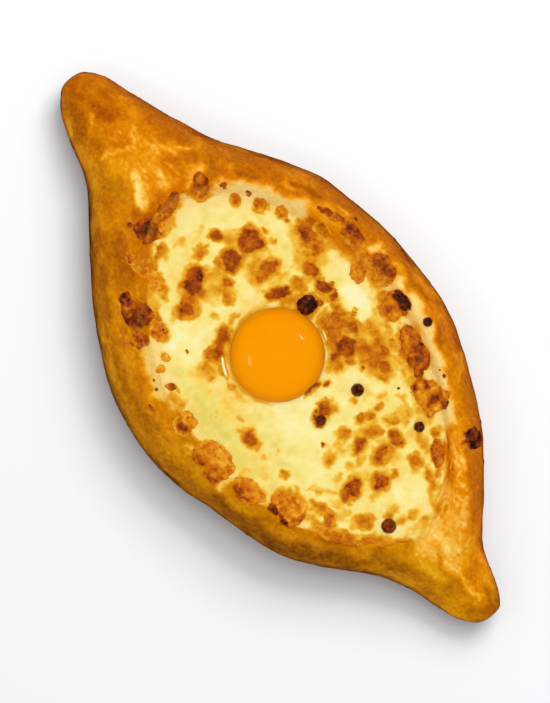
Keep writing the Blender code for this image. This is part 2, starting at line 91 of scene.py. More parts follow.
# Ovals in this and the next tables are x, y, length and width in mm, and a turn in degrees where they have one.
# Browned places of the cheese.
CHEESE_SPOTS = {
    Doneness.PALE: (
        (45, 18, 30, 20), (68, -6, 24, 22), (25, 9, 13, 10), (-20, 5, 9, 24), (62, 18, 22, 10),
        (60, 2, 20, 30), (46, 4, 12, 26, 15), (-50, -6, 14, 30, 20), (0, -30, 40, 14), (56, -14, 12, 14),
        (20, -36, 44, 10, 2), (74, 14, 12, 6, -30), (84, 0, 7, 10), (68, 8, 8, 20), (74, -8, 10, 10),
    ),
    Doneness.LIGHT: (
        (-46, 11, 10, 8), (-20, 30, 18, 10), (38, 16, 5, 12, -10), (60, 22, 12, 4, -20),
        (54, -22, 14, 3, 45), (47, 4, 8, 18, 20), (60, -8, 12, 12), (54, -14, 4, 5), (54, -3, 4, 6),
        (58, -5.5, 5, 4), (18, 30, 44, 20, -12), (-29, 13, 20, 18), (-36, -8, 14, 24, -35),
        (33, 35, 24, 7, -28), (20, -31, 12, 7, 10), (45, 34, 34, 14, -28), (-47, -26, 12, 5, -30),
        (-24, 37, 30, 11, -12), (30, -1, 9, 10), (-55, 3, 3.5, 5), (-56.5, -6.5, 3, 7),
        (-24.5, 28.5, 6, 3, 20), (-28, 8, 5, 5), (-10, -28, 11, 9), (-37, -3, 9, 5, -40),
        (-42, -30, 12, 3.4, -42), (-33, 31, 9, 5), (-22, 26, 8, 6), (-20, -8, 3, 8, 10),
        (12, -29.5, 6, 2, 8), (31.5, -26, 3, 2.5), (47.5, -29.5, 4, 2), (30.5, -41, 6, 5), (40, -41, 6, 5),
        (16, 37, 9, 6), (4, -24, 12, 4, 5), (8.5, 30, 9, 3, 15), (22, 34, 16, 10, -15), (50, 24, 8, 5),
        (45, 25, 5, 4), (50, 21, 10, 5, -20), (83.5, 0, 4.5, 6), (77, -3.5, 4, 3), (41.5, 15.5, 3, 6),
        (54, -7.5, 5, 5), (8, 24, 12, 7, 10), (-9, -45, 10, 6), (18, 38, 9, 4, -20), (25, 36, 8, 6),
        (74, 14.5, 9, 4, -30), (57, 5, 9, 14, 5), (-21, 17, 5, 8), (-14, 20, 8, 6), (34, 32, 11, 7),
        (88, -1, 5, 14), (87, 8, 4, 8, 30), (61, -21, 6, 5, 30), (69, -7, 5, 8), (66, 20, 5, 5),
        (79, 13, 12, 4, -45), (72, -20, 5, 8, 40), (-35, -26, 8, 3, -30), (-25, -13, 4, 4),
        (-57, -13, 8, 4, -40), (53, 26, 6, 3, -20), (-9, 14, 5, 5), (34, 9, 4, 4), (70, 12, 5, 4),
        (60, 9, 5, 5), (45, -6, 7, 5), (30, -31.5, 4, 3), (82, -5, 4, 5), (67, -20, 4, 4), (-9, 42, 4, 3),
        (66, -23, 6, 5, 40),
    ),
    Doneness.GOLDEN: (
        (-63.5, -6, 4.5, 12, 20), (-57, -16, 12, 3, -50), (-12, 12, 6, 9, -20), (58, -27, 8, 5, 15),
        (66, -32, 8, 5, 30), (20, 28, 36, 15, -12), (-7, 29, 7, 8), (63, 27, 6, 5, -50), (-10, 15, 4, 3.4),
        (-12, -41.6, 5, 2.4), (-27, 37, 18, 9, -15), (34, 38, 22, 9, -28), (48, 32, 16, 9, -30),
        (-16, -16, 13, 8, -45), (-39, 9, 9, 18), (-38.6, -12.6, 11, 11, -45), (57, 8, 9, 12),
        (12, 44, 26, 7), (65, -2, 8.5, 9.5), (60.8, -12, 9, 12), (-34.5, 23, 3, 4), (-39.7, 23.6, 4.5, 3),
        (-56, 21.5, 5.5, 5), (-62.5, 21, 4, 4), (-12.7, -27, 2.8, 6.5, 20), (-7.2, -29.2, 2.8, 5),
        (39.8, -29.4, 4.4, 3, 30), (-24.5, -37.8, 3, 2), (-22, -42, 2.5, 2.5), (5, -36.5, 5, 4),
        (-6, -24, 8, 3.4, -10), (20, 37, 7, 4, -20), (75.5, 14.4, 9, 4, -20), (75, 18.6, 8, 3.4, -45),
        (45.9, -12, 5.5, 7.5, 20), (42.3, -1.6, 6, 6.5), (49, 16.5, 5, 7, -30), (65.5, 4.5, 4, 4.5),
        (77.5, -7, 4, 5), (62, -31, 7, 4), (-41.2, 32.8, 5, 5), (-25, 37, 14, 8, -20),
        (-46, -23, 9, 5, -20), (-11.3, -45.8, 3.6, 5), (18, 13, 10, 9, -40), (33, 34, 14, 4, -28),
        (41.8, 16, 3, 5), (-26.5, 12, 9, 9), (-48.5, -2, 6, 6.5), (89, -9.5, 4, 8, -35),
        (68, -31, 12, 5, 34),
    ),
    Doneness.ORANGE: (
        (6, 20.5, 13, 8), (12, 17, 13, 5, -15), (-24, 34.5, 9, 7), (-22, 30.6, 4, 4), (14, 15.4, 6, 3, 10),
        (20.4, 17.6, 4, 3), (66, -28, 6, 3.4, 30), (-15, 20.5, 6, 6), (-50, -22, 6, 4, -40),
        (9, 25.5, 9, 5), (-38, -31.5, 5, 3, -40), (-48.5, -2, 4.6, 4.8), (-27.2, -4.8, 4.2, 3.6),
        (-35.6, -18.4, 12, 8.6, -50), (-48.3, 27.7, 5, 5, 30), (-13.5, -22.5, 5.5, 9, -20),
        (19, 32, 4.4, 4.2), (26, 35, 5.5, 3), (27.5, 26.2, 5, 3.6), (41.3, 8.8, 4.2, 7.2, -20),
        (48, 7.6, 4.6, 6, -35), (74, -16.4, 5.4, 6.8, -10), (-30, 36, 9, 8, -20), (-62, -22, 14, 8, -15),
        (66.5, 14.2, 6, 4.4), (-5, 23, 2.5, 2.5), (56.6, 5.4, 6, 9, 10), (3, 26.6, 7, 4), (-27, 11.5, 5, 4),
        (17.5, 13.5, 7, 6, -40), (58.5, -26.8, 6, 4, 20), (70, 22.5, 10, 5, -35), (74.5, -27, 15, 6, 38),
        (83.5, -18, 14, 6, 44),
    ),
    Doneness.BROWNED: (
        (-49.6, 7.2, 3.2, 5.4, -50), (-32.5, -0.8, 4, 4), (-26.7, 15.2, 7, 8.5), (-33.8, -19.4, 6, 6, -50),
        (-28.4, 35.6, 9.5, 7, 20), (-21.5, 33.7, 5, 4.4), (-16.4, 27.8, 7.4, 6, -15), (-2.5, 28, 4.5, 5),
        (-17, -15.5, 8, 5, -35), (4, 24, 5.6, 5.2, 20), (11.6, 27, 5.6, 4.2, -20), (26, 30.8, 5.4, 4.6),
        (31, 27, 5.4, 5.4, 30), (29.5, -1.3, 6.4, 6.4), (49.2, 0.3, 4.4, 7.6, 20),
        (20.5, -31.7, 8.6, 4.8, 8), (55.4, 13.1, 7.4, 4.8, -20), (57, 4.8, 5, 5.4, 10),
        (-15, -18.5, 13, 4, -58), (61.2, -15.4, 5, 4.6), (-33.2, -33, 5.5, 5, -20), (31.4, -6.6, 5, 3.4),
    ),
    Doneness.DARK: (
        (26.3, 19.7, 1.4, 1.4), (-37.3, 32.4, 1.8, 1.6), (40.2, -10.8, 1.4, 1.4), (-20.5, -30, 1.2, 1.2),
        (-2.2, 29.9, 1.6, 1.4), (22.4, 5.5, 1.4, 2.4), (-41.2, 17.2, 7.6, 6.8), (-37.6, 17, 6.4, 7.8),
        (-39.8, 13.6, 8, 6), (-38.7, 5.4, 8.6, 9.6), (-42.2, -9.4, 8.6, 8.4, -50),
        (-39.8, -12.8, 8, 7.4, -50), (-16.8, 12.1, 5, 10.6, -26), (-8, 27.5, 6.5, 6, 10),
        (15.8, 19.6, 8.5, 10, 10), (15.5, 15, 4, 6), (65.6, -1.8, 6.4, 6.8), (60.6, -11.8, 7, 8.4, 20),
        (-29, 34.4, 5, 3.6),
    ),
    Doneness.BURNT: (
        (19.9, -0.4, 2.2, 8, 4), (55.7, 7.5, 2.4, 1.8),
    ),
}

# Places of the cheese that stayed milky between browned ones; the first keeps the painted highlight, a glare
# round (4, 34), free of browning.
CLEAN_CHEESE_AND_GLARE = (
    (4, 34, 17, 9.5, -8), (-13, 38, 9, 5), (-11, 34, 7, 4.5), (-22, -28, 13, 9, -20), (8, -38, 24, 4, 4),
    (46, 28, 7, 3, -20), (-55, 13, 14, 10, 40), (-38, 27.6, 10, 5, 30), (38, 10, 4, 14), (36, -16, 16, 16),
    (-25, -20, 4, 14, 30), (-28, -29, 13, 5, -35), (75, 5, 10, 12), (-26, 2, 5, 7),
    (-40.8, -20, 6, 2.6, -40), (71, -8, 3.4, 7), (-9, 31.5, 13, 3, -5), (-35, 38.4, 6, 3, 20),
    (45, 38.6, 6, 4.4, -10), (22.6, 46, 4, 6, -20), (35, 20, 6, 5),
)

# Places where the crust shows fine paler flecks: partly a crackled paler skin, partly painted highlight, the
# sparkle of glossy bumps.
CRUST_FLAKES_AND_SPARKLE = (
    (86, 18, 15, 9, -55), (-78, 10, 8, 9), (122, 1, 18, 5, -5), (-100, -13, 15, 4, -14),
    (-82, -4, 12, 8, -30), (78, 27, 15, 6, -42), (100, 2, 16, 8), (-96, 6, 18, 10, 20), (5, -59, 30, 4, 4),
    (-45, -50, 20, 4, -28), (-100, 2, 16, 8, 10),
)

# Places of the crust that baked further or less far than what is round them.
CRUST_SPOTS = {
    Doneness.PALE: (
        (-62, 18.5, 8, 8, 40), (-56, 26, 20, 9, 46), (-46, 32.6, 18, 8, 36), (-38, 38.5, 12, 8, 15),
        (8, 47.5, 5, 13), (14, 51.2, 14, 2.6, -2), (24, 50, 14, 6, -8), (23.6, 46, 6, 8, -20),
        (33, 46.2, 14, 6, -18), (43, 43, 14, 8, -32), (50.4, 39.4, 13, 4.6, -32), (60, 33, 14, 8, -50),
        (65, 27, 10, 6, -60), (-23, -43, 26, 9.5, -20), (69, -22, 14, 7, 38), (-66, 7, 6, 5),
        (45.8, 38.8, 5, 4.6), (-8, 51.8, 3.4, 5.5), (-32, -39, 8, 5, -25), (-7.5, -48, 5.5, 6.5),
        (28.5, -49.8, 5, 9, 20), (6, -46, 6, 4), (10, -52, 4.4, 6, -20), (87, 1, 7, 12, 10), (88, -6, 6, 6),
        (92, 4, 8, 9), (99, 5, 12, 4, -10), (76, 19, 10, 4, -45), (-85.5, -3, 5, 3.5, -20),
        (-79, -5.5, 9, 3.8, -30), (-81, 5, 4, 2.5),
    ),
    # Light rows on the narrower nose, from x 84 to 120, are partly paler dough and partly painted highlight, a
    # sheen along its middle.
    Doneness.LIGHT: (
        (90, 1, 12, 11), (97, 5, 18, 9, -15), (108, 1, 16, 5, -5), (84, 14, 12, 7, -50),
        (100, -4, 9, 3, -55), (-99, 5, 10, 2.2, -30), (-99, -6, 2.4, 14, -12), (-89, 11, 12, 2.2, 30),
        (-84, 18, 10, 2, 55), (-106, -13, 11, 3.5, -12), (-117, -13, 6, 2, -20), (-113, -4, 9, 2.2, -45),
        (-109.5, 4, 4, 1.8, 40), (-128, 0.5, 4, 1.8, -55), (-93, 8, 7, 2, 10), (120, 0, 10, 2.6),
        (-60, 12, 8, 8), (50, 50, 12, 3, -30), (2, -59.5, 16, 3, 2), (-25, 51.6, 9, 2.6, 10),
        (79, 26, 14, 3, -42), (95, -5, 10, 8, -20), (104, -8.5, 10, 4, 8), (96, 11, 12, 6, -30),
        (-78, 2, 5, 6, -10), (-74, 16, 5, 9, 10), (95, 15, 14, 6, -40), (-51, -28, 8, 3.6, -30),
        (-71, 11, 4, 5), (6, 55, 10, 2), (-4, 54, 6, 2.6), (-47, 41, 5, 2.6, 30),
    ),
    Doneness.GOLDEN: (
        (-94, -6, 14, 8, -10), (-90, 3, 18, 12), (105, -6, 16, 6), (86, -13, 10, 6, 45),
        (92, 12, 20, 8, -40), (104, 7, 22, 7, -18), (20, -58, 30, 5, 6), (116, 9, 22, 4, -12),
        (77, 27, 6, 3.4, -40), (-27, 45, 26, 7, 14), (-2, 44, 20, 8, -20), (72, 30, 16, 4, -42),
    ),
    Doneness.ORANGE: (
        (-67, -4, 9, 12, 10), (-63, -17, 8, 10), (-56, -25, 22, 10, -28), (0, -50, 34, 8, 2),
        (40, -47, 22, 9, 18), (-8, 44.5, 12, 3, -48), (-12, 47, 9, 3, -20), (-24, 44, 6, 4),
        (62, -36, 14, 9, 38), (59, -35, 6, 3, 38), (-4, 41, 6, 2.5, -60),
    ),
    Doneness.BROWNED: (
        (-12, -53.5, 8, 2.4, 8), (-39.4, -37.6, 5, 3.4), (-23, -52, 9, 3.5, -18), (84, 30, 9, 6, -45),
        (-42, 42, 12, 1.6, 26), (95, -17, 8, 6, 20), (72, -30, 14, 7, 36), (-68, -28, 20, 8, -35),
        (62, -46, 24, 9, 28), (-66, 32, 24, 6, 36), (90, -22, 14, 5, 30), (-67.6, 14, 5, 6),
        (58, 48, 34, 5, -28), (88, 27, 26, 5, -38), (-30, 55, 40, 4, 12), (0, -62, 50, 5), (-128, 4, 6, 8),
        (-118, -6, 14, 6, -15), (-95, 17, 22, 7, 18), (101, 16, 8, 5, -40), (-105, -12, 40, 5, -8),
        (-66, -27, 16, 9, -30), (100, -15, 26, 3, 20), (-64, 34, 16, 7, 34), (60, -47, 30, 8, 26),
        (20, -58.5, 56, 7, 4), (72, -38, 34, 8, 34), (78, 32, 18, 5, -42), (-100, 19, 26, 5, 20),
        (-74, -25, 10, 6, -35), (-21, 53.3, 2.5, 1.4, 15),
    ),
    Doneness.DARK: (
        (-118, -7, 16, 7, -12), (-68, -27, 14, 6, -35), (20, -60, 30, 5, 5), (95, -18, 20, 6, 28),
        (-58, -42, 24, 6, -37), (-74, -32, 16, 5, -35), (-30, -55, 20, 5, -20), (-61, 30, 10, 4, 36),
        (16, 56.5, 12, 3, -4), (-60, -31, 14, 9, -40), (-12, -59, 22, 4, -13), (-114, 3, 14, 7, 10),
        (-41, 46, 14, 4, 24), (35, 50.4, 10, 3, -16), (-8, -57.5, 10, 3), (131, 1, 4, 7),
        (-82, 27, 12, 3, 30), (112, -13.5, 6, 2.5, 15),
    ),
    Doneness.BURNT: (
        (44, -53, 32, 7, 14), (64, -44.8, 26, 7.5, 31), (80, -32, 24, 7, 38),
    ),
}

# Charred beads that swelled up out of the cheese or the rim, in mm: x, y and radius.
CHARRED_BEADS = (
    (31.6, 13.1, 2.6), (32.1, -5.4, 2.1), (57.7, 23.1, 2.15), (27.4, 50.5, 1.95), (80.7, -10, 3),
    (-73, -17, 1), (47.8, 42.7, 0.8), (45, 42.9, 0.5), (-20.2, -46.8, 0.6), (-16.8, -48.2, 0.8),
    (40.9, 26.1, 0.6), (-21, 53.3, 0.8), (28.1, -4.7, 0.6),
)

# Raised lines in the egg white, painted white as painted glints: how far out they are in mm, from and to which
# angle in degrees, and half their width in mm.
FILM_GLINT_RIDGES = ((2.9, 233, 256, 0.75), (1.5, 68, 81, 0.45), (0.6, 46, 56, 0.45))

# The lumps of browned cheese, by the number of their solid: the height in mm, and the lobes, palest first.
CURDS = {
    "01": (2.0, {
        Doneness.ORANGE: ((-47.5, -36.5, 7, 7, 20), (-45, -34, 8, 6)),
        Doneness.BROWNED: ((-46.5, -33, 5, 3.5), (-49.5, -36, 4, 6)),
        Doneness.DARK: ((-51.8, -35.6, 4.6, 5, 30), (-42.8, -36, 9, 11.5, -10), (-46.5, -39.8, 8, 2.4, -15)),
        Doneness.BURNT: ((-42, -37.5, 6, 6, -10), (-52.4, -35.4, 2.4, 3)),
    }),
    "02": (1.9, {
        Doneness.BROWNED: ((-65, -13, 5.5, 7.5), (-67, -10, 8, 3.5)),
        Doneness.DARK: ((-68.2, -13.6, 8.5, 8.4), (-70.5, -15.4, 4, 4), (-64.6, -15.6, 3.6, 3.6)),
        Doneness.BURNT: ((-69, -14, 5, 5),),
    }),
    "03": (1.4, {
        Doneness.ORANGE: ((-65.3, 12.4, 5, 3.6, -30), (-71, 16, 4, 4)),
        Doneness.BROWNED: ((-68.3, 14.6, 9, 6, -20),),
        Doneness.DARK: ((-67.6, 16.2, 5.5, 1.8, -30), (-69.5, 13, 3, 1.5, 10)),
    }),
    "04": (1.6, {
        Doneness.ORANGE: ((-17, 48.4, 12.5, 6.5),),
        Doneness.BROWNED: ((-17.5, 49, 10.5, 5, 5),),
        Doneness.DARK: ((-17.8, 49.2, 7.5, 3, 5),),
    }),
    "05": (1.9, {
        Doneness.ORANGE: ((3.5, 47, 6, 4), (0, 49.8, 13, 8.6)),
        Doneness.BROWNED: ((-1, 50.2, 10, 6.5), (3.5, 51.5, 4.5, 4.5)),
        Doneness.DARK: ((-2.8, 49.5, 4, 2.5, 20), (2, 51.5, 3, 1.5)),
    }),
    "06": (2.1, {
        Doneness.GOLDEN: ((14.5, 42, 10.5, 7), (10, 45.5, 3, 7, -20)),
        Doneness.ORANGE: ((15, 42.2, 7, 5), (15, 46, 11, 5)),
        Doneness.BROWNED: ((14, 42.4, 4, 2.5, 30),),
        Doneness.BURNT: ((15, 48, 9.6, 5.2, -4),),
        Doneness.CHARRED: ((15.6, 48.2, 8, 3.8, -4),),
    }),
    "07": (1.9, {
        Doneness.ORANGE: ((32.2, 40.2, 19.6, 8.6, -19), (27.5, 42.6, 7, 4, -10)),
        Doneness.BROWNED: ((36.4, 39.6, 12, 8.4, -28), (40.8, 36, 4.5, 4.6, -40)),
        Doneness.DARK: ((36.8, 39.4, 6, 4.5, -40), (33, 43.2, 5, 1.5, -10)),
    }),
    "08": (2.0, {
        Doneness.GOLDEN: ((50.6, 33.4, 14.5, 10.5, -10), (53.5, 38.4, 5, 3.4)),
        Doneness.ORANGE: ((53, 34.5, 7, 8, -10), (56, 30, 3, 4, 20), (46.3, 34.8, 4.6, 3, 15)),
        Doneness.BROWNED: ((46.2, 35.2, 4, 2.2, 15), (44.7, 31, 3.2, 3.4), (53.2, 34.2, 3, 6, 5)),
        Doneness.DARK: ((57, 36, 2.4, 3.8, 20), (46.2, 35.6, 3, 1.4, 10), (53, 34.5, 2, 4, 5)),
    }),
    "09": (1.3, {
        Doneness.ORANGE: ((73, 34.2, 7, 3.5, -35),),
        Doneness.BURNT: ((74, 36.9, 9, 7, -38),),
    }),
    "10": (2.1, {
        Doneness.GOLDEN: ((52.4, -37.2, 13, 11.4, 15),),
        Doneness.ORANGE: ((51.2, -34, 6.4, 2.6, 10), (46, -37.5, 3.4, 6, 5), (52, -38.4, 3, 4, 20)),
        Doneness.BROWNED: ((57, -36, 2.6, 6.5, -20), (51, -41, 9, 2.2, 10)),
        Doneness.BURNT: ((48, -41.4, 5, 3.4), (54, -41.2, 4.4, 2.2, 20)),
    }),
    "11": (1.8, {
        Doneness.GOLDEN: ((36, -45, 12.4, 7.8, 15), (41.2, -43, 3, 4)),
        Doneness.ORANGE: ((35.6, -46, 9.6, 5, 12),),
        Doneness.DARK: ((33.6, -47.4, 4.6, 2.8), (37.5, -47, 3, 1.4, 30)),
    }),
    "12": (1.9, {
        Doneness.GOLDEN: ((18.6, -46.4, 16, 9), (14.2, -48.4, 8.6, 10.5), (23.6, -48.4, 6.6, 11, -10)),
        Doneness.ORANGE: (
            (14.4, -50.4, 7, 5.5), (23.4, -50.6, 6, 6, 12), (24.6, -46.6, 2.6, 5), (13.4, -45.8, 4, 3),
        ),
        Doneness.BROWNED: ((14.8, -51.6, 5.6, 3), (22.4, -53, 6, 2, 12)),
        Doneness.DARK: ((15, -52.6, 4, 1.4),),
    }),
    "13": (1.6, {
        Doneness.GOLDEN: ((0.4, -46.6, 7, 6),),
        Doneness.ORANGE: ((0.4, -48.8, 7.6, 6),),
        Doneness.DARK: ((1, -49.4, 4.6, 4),),
    }),
    "14": (2.2, {
        Doneness.BROWNED: ((-4.4, 22.4, 2.8, 2.4),),
        Doneness.CHARRED: ((-6.2, 17.5, 7.6, 9.4, 15),),
    }),
    "15": (1.5, {
        Doneness.ORANGE: ((-38, -41, 4, 3),),
        Doneness.BROWNED: ((-35.6, -41.2, 8, 6, 60), (-38.6, -39.6, 5, 3.6)),
        Doneness.DARK: ((-36, -41.2, 5, 5, 40), (-34.6, -43.2, 4.5, 2.4, 15)),
    }),
}

# Thin scraps of cheese that browned on the rim and beside it.
SCRAPS = {
    Doneness.GOLDEN: (
        (-41.2, 32.8, 4.4, 3.4, 20), (-51, -23, 8, 4.6, -10), (-24.5, -37.8, 3, 1.8, -10),
        (-22.2, -42.2, 2.2, 2.2),
    ),
    Doneness.ORANGE: (
        (-56, 21.5, 4.2, 3.8), (-48.6, 27.6, 5, 4.2, 30), (-5.6, 43.2, 13, 6.2, -46),
        (-34, -33.6, 7, 5.4, -20), (-57, -21, 5, 3), (-26, 40.5, 8, 4, 10), (64.2, -25.8, 6.4, 4.4, -28),
        (-59, -24, 11, 4, 5), (-67.4, -7, 8, 4.6, -50),
    ),
    Doneness.BROWNED: (
        (-69.6, -1, 14, 5.6, -70), (-28, 46.8, 12, 3.8, 22), (-62.6, 21, 2.6, 3), (-62, -25.2, 4, 2, -10),
        (-54.4, 26.6, 2.6, 2.2), (-12, -53.8, 3, 1.6), (-14.4, -43.4, 5, 3.6, 35), (70, 22.6, 12, 5.4, -36),
        (-33, -32.4, 3.4, 3), (64.5, -25.4, 3, 2.6),
    ),
    Doneness.DARK: (
        (-28.6, 46.6, 8, 1.9, 22), (-13.8, -42.8, 2.4, 2), (-48.4, 29.2, 2, 1.4), (67.4, 24.6, 3, 2.4),
        (-32, -32, 2, 1.8), (-71, 3, 4, 2, -70),
    ),
}


# Broad places where the cheese is milkier or yellower, the last a painted highlight, a whitish glare: how much,
# x and y in mm, how much x counts against y, and how far out in mm the change starts and is whole.
MILKINESS_AND_GLARE = (
    (0.2, 24, -12, 0.8, 14, 5), (-0.4, 14, -40, 0.5, 24, 6), (0.35, -23, -29, 0.7, 9, 3),
    (0.45, 3, 35.5, 0.6, 6.5, 2.5),
)


def linear(colour: Colour) -> tuple[float, float, float, float]:
    """Turns a display colour into the shader's.

    Args:
        colour: Red, green and blue, each from 0 to 255.

    Returns:
        The colour in linear light, with full alpha.
    """
    parts = [part / 255 for part in colour]
    return (*(p / 12.92 if p <= 0.04045 else ((p + 0.055) / 1.055) ** 2.4 for p in parts), 1.0)


def share_between(value: np.ndarray, low: float, high: float) -> np.ndarray:
    """Rises smoothly from 0 at low to 1 at high.

    Args:
        value: The numbers to place between the limits.
        low: Where the share is 0. It may be above high, and the share then falls.
        high: Where the share is 1.

    Returns:
        The share for each number.
    """
    t = np.clip((value - low) / (high - low), 0, 1)
    return t * t * (3 - 2 * t)


class Noise:
    """Uneven fields in space, the same on every run for one seed."""

    def __init__(self, seed: int) -> None:
        """Fills the tables that the fields are read from.

        Args:
            seed: Picks the field.
        """
        draw = np.random.default_rng(seed)
        self.order = draw.permutation(256)
        slopes = draw.normal(size=(256, 3))
        self.slopes = slopes / np.linalg.norm(slopes, axis=1)[:, None]
        self.scatter = draw.random((256, 3))

    def entry(self, cell: np.ndarray) -> np.ndarray:
        """Gives each whole-numbered cell its place in the tables."""
        second = self.order[(self.order[cell[:, 0] & 255] + cell[:, 1]) & 255]
        return self.order[(second + cell[:, 2]) & 255]

    def layer(self, places: np.ndarray) -> np.ndarray:
        """One layer of swells a unit across, from about -1 to 1.

        Args:
            places: Points in units of the swells, one row each.

        Returns:
            The field at each point.
        """
        cell = np.floor(places).astype(int)
        part = places - cell
        fade = part**3 * (part * (part * 6 - 15) + 10)
        total = np.zeros(len(places))
        for corner in np.ndindex(2, 2, 2):
            slope = self.slopes[self.entry(cell + corner)]
            weight = np.where(np.array(corner, bool), fade, 1 - fade).prod(1)
            total += weight * (slope * (part - corner)).sum(1)
        return total * 1.7

    def at(self, places: np.ndarray, size: float, layers: int = 1) -> np.ndarray:
        """Swells of a size, with finer ones on them.

        Args:
            places: Points in metres, one row each.
            size: How far apart the swells are, in metres.
            layers: How many layers, each half as wide and half as strong as the one before.

        Returns:
            The field at each point, from about -1 to 1.
        """
        total = np.zeros(len(places))
        for number in range(layers):
            total += self.layer(places * (2**number / size) + 31.7 * number) / 2**number
        return total

    def cells(self, places: np.ndarray, size: float) -> tuple[np.ndarray, np.ndarray]:
        """How far each point is from the two nearest of many scattered seeds.

        Args:
            places: Points in metres, one row each.
            size: How far apart the seeds are, in metres.

        Returns:
            The distance to the nearest seed and to the second nearest, as shares of the size.
        """
        scaled = places / size
        cell = np.floor(scaled).astype(int)
        nearest = np.full(len(places), 9.0)
        second = np.full(len(places), 9.0)
        for step in np.ndindex(3, 3, 3):
            other = cell + (np.array(step) - 1)
            away = np.linalg.norm(other + self.scatter[self.entry(other)] - scaled, axis=1)
            second = np.minimum(second, np.maximum(nearest, away))
            nearest = np.minimum(nearest, away)
        return nearest, second


class MeshWork:
    """What every piece needs to read, change and finish its mesh."""

    @staticmethod
    def read(items: bpy.types.bpy_prop_collection, key: str, width: int, kind: type = float) -> np.ndarray:
        """Reads one property of every item.

        Args:
            items: The vertices, edges or other parts of a mesh.
            key: The property's name.
            width: How many numbers an item gives.
            kind: What the numbers are.

        Returns:
            The numbers, one row for each item.
        """
        flat = np.empty(len(items) * width, kind)
        items.foreach_get(key, flat)
        return flat.reshape(-1, width)

    @staticmethod
    def points(mesh: bpy.types.Mesh) -> np.ndarray:
        """Reads the vertices of a mesh, one row each."""
        return MeshWork.read(mesh.vertices, "co", 3)

    @staticmethod
    def normals(mesh: bpy.types.Mesh) -> np.ndarray:
        """Reads the normal at each vertex, one row each."""
        return MeshWork.read(mesh.vertex_normals, "vector", 3)

    @staticmethod
    def edges(mesh: bpy.types.Mesh) -> np.ndarray:
        """Reads the two vertices of each edge, one row each."""
        return MeshWork.read(mesh.edges, "vertices", 2, np.int32)

    @staticmethod
    def move(mesh: bpy.types.Mesh, points: np.ndarray) -> None:
        """Puts the vertices of a mesh at these points."""
        mesh.vertices.foreach_set("co", points.ravel())
        mesh.update()

    @staticmethod
    def store(mesh: bpy.types.Mesh, name: str, values: np.ndarray) -> None:
        """Keeps one number for each vertex under a name, for a finish to read."""
        attribute = mesh.attributes.get(name) or mesh.attributes.new(name, "FLOAT", "POINT")
        attribute.data.foreach_set("value", values.astype(np.float32))

    @staticmethod
    def relax(points: np.ndarray, edges: np.ndarray, rounds: int) -> np.ndarray:
        """Smooths a surface by drawing each vertex halfway to the middle of its neighbours.

        Args:
            points: The vertices, one row each.
            edges: The two vertices of each edge, one row each.
            rounds: How many times.

        Returns:
            The smoothed vertices.
        """
        one, other = edges.T
        count = np.bincount(edges.ravel(), minlength=len(points))[:, None]
        for _ in range(rounds):
            total = np.empty_like(points)
            for axis in range(3):
                near = np.bincount(one, points[other, axis], len(points))
                far = np.bincount(other, points[one, axis], len(points))
                total[:, axis] = near + far
            points = points + (total / count - points) * 0.5
        return points

    @staticmethod
    def add(name: str, mesh: bpy.types.Mesh) -> bpy.types.Object:
        """Adds an object that holds this mesh to the scene.

        Args:
            name: What the object is called.
            mesh: What it holds.

        Returns:
            The new object.
        """
        piece = bpy.data.objects.new(name, mesh)
        bpy.context.scene.collection.objects.link(piece)
        return piece

    @staticmethod
    def merged_copy(name: str, nodes: list[bpy.types.Object]) -> bpy.types.Object:
        """Copies solids of the frame into one new piece, with their loose triangles joined up.

        Args:
            name: The name of the piece.
            nodes: The frame's objects to copy.

        Returns:
            The new piece.
        """
        work = bmesh.new()
        for node in nodes:
            work.from_mesh(node.data)
        bmesh.ops.remove_doubles(work, verts=work.verts, dist=1e-6)
        mesh = bpy.data.meshes.new(name)
        work.to_mesh(mesh)
        work.free()
        mesh.materials.clear()
        return MeshWork.add(name, mesh)

    @staticmethod
    def settle(piece: bpy.types.Object) -> None:
        """Gives a piece the plain mesh that its modifiers make, and takes them off.

        Args:
            piece: The object to change.
        """
        bpy.context.view_layer.update()
        evaluated = piece.evaluated_get(bpy.context.evaluated_depsgraph_get())
        mesh = bpy.data.meshes.new_from_object(evaluated)
        piece.modifiers.clear()
        piece.data = mesh

    @staticmethod
    def remesh(piece: bpy.types.Object, voxel: float) -> None:
        """Rebuilds a piece as an even closed mesh of small squares.

        Args:
            piece: The piece to rebuild.
            voxel: The size of a square, in metres.
        """
        modifier = piece.modifiers.new("even_mesh", "REMESH")
        modifier.mode = "VOXEL"
        modifier.voxel_size = voxel
        MeshWork.settle(piece)

    @staticmethod
    def thin_out(piece: bpy.types.Object, hidden: np.ndarray, ratio: float) -> None:
        """Drops faces from where a piece doesn't show.

        Args:
            piece: The piece to thin out.
            hidden: Which vertices don't show.
            ratio: The share of all faces to keep.
        """
        group = piece.vertex_groups.new(name="hidden")
        group.add(np.flatnonzero(hidden).tolist(), 1.0, "REPLACE")
        modifier = piece.modifiers.new("fewer_faces", "DECIMATE")
        modifier.ratio = ratio
        modifier.vertex_group = group.name
        modifier.vertex_group_factor = 10.0
        MeshWork.settle(piece)
        piece.vertex_groups.clear()

    @staticmethod
    def hand_over(piece: bpy.types.Object, material: bpy.types.Material, slot: str, nodes: list[str]) -> None:
        """Dresses a finished piece and sets it in the frame.

        Args:
            piece: The finished piece.
            material: Its finish.
            slot: The record's material slot that the finish belongs to. It is not used.
            nodes: The solids that the piece stands for.
        """
        piece.data.materials.clear()
        piece.data.materials.append(material)
        piece.data.shade_smooth()
        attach(piece, BODY)
        if nodes:
            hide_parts(*nodes)
        LOG.info("%s: %d faces", piece.name, len(piece.data.polygons))


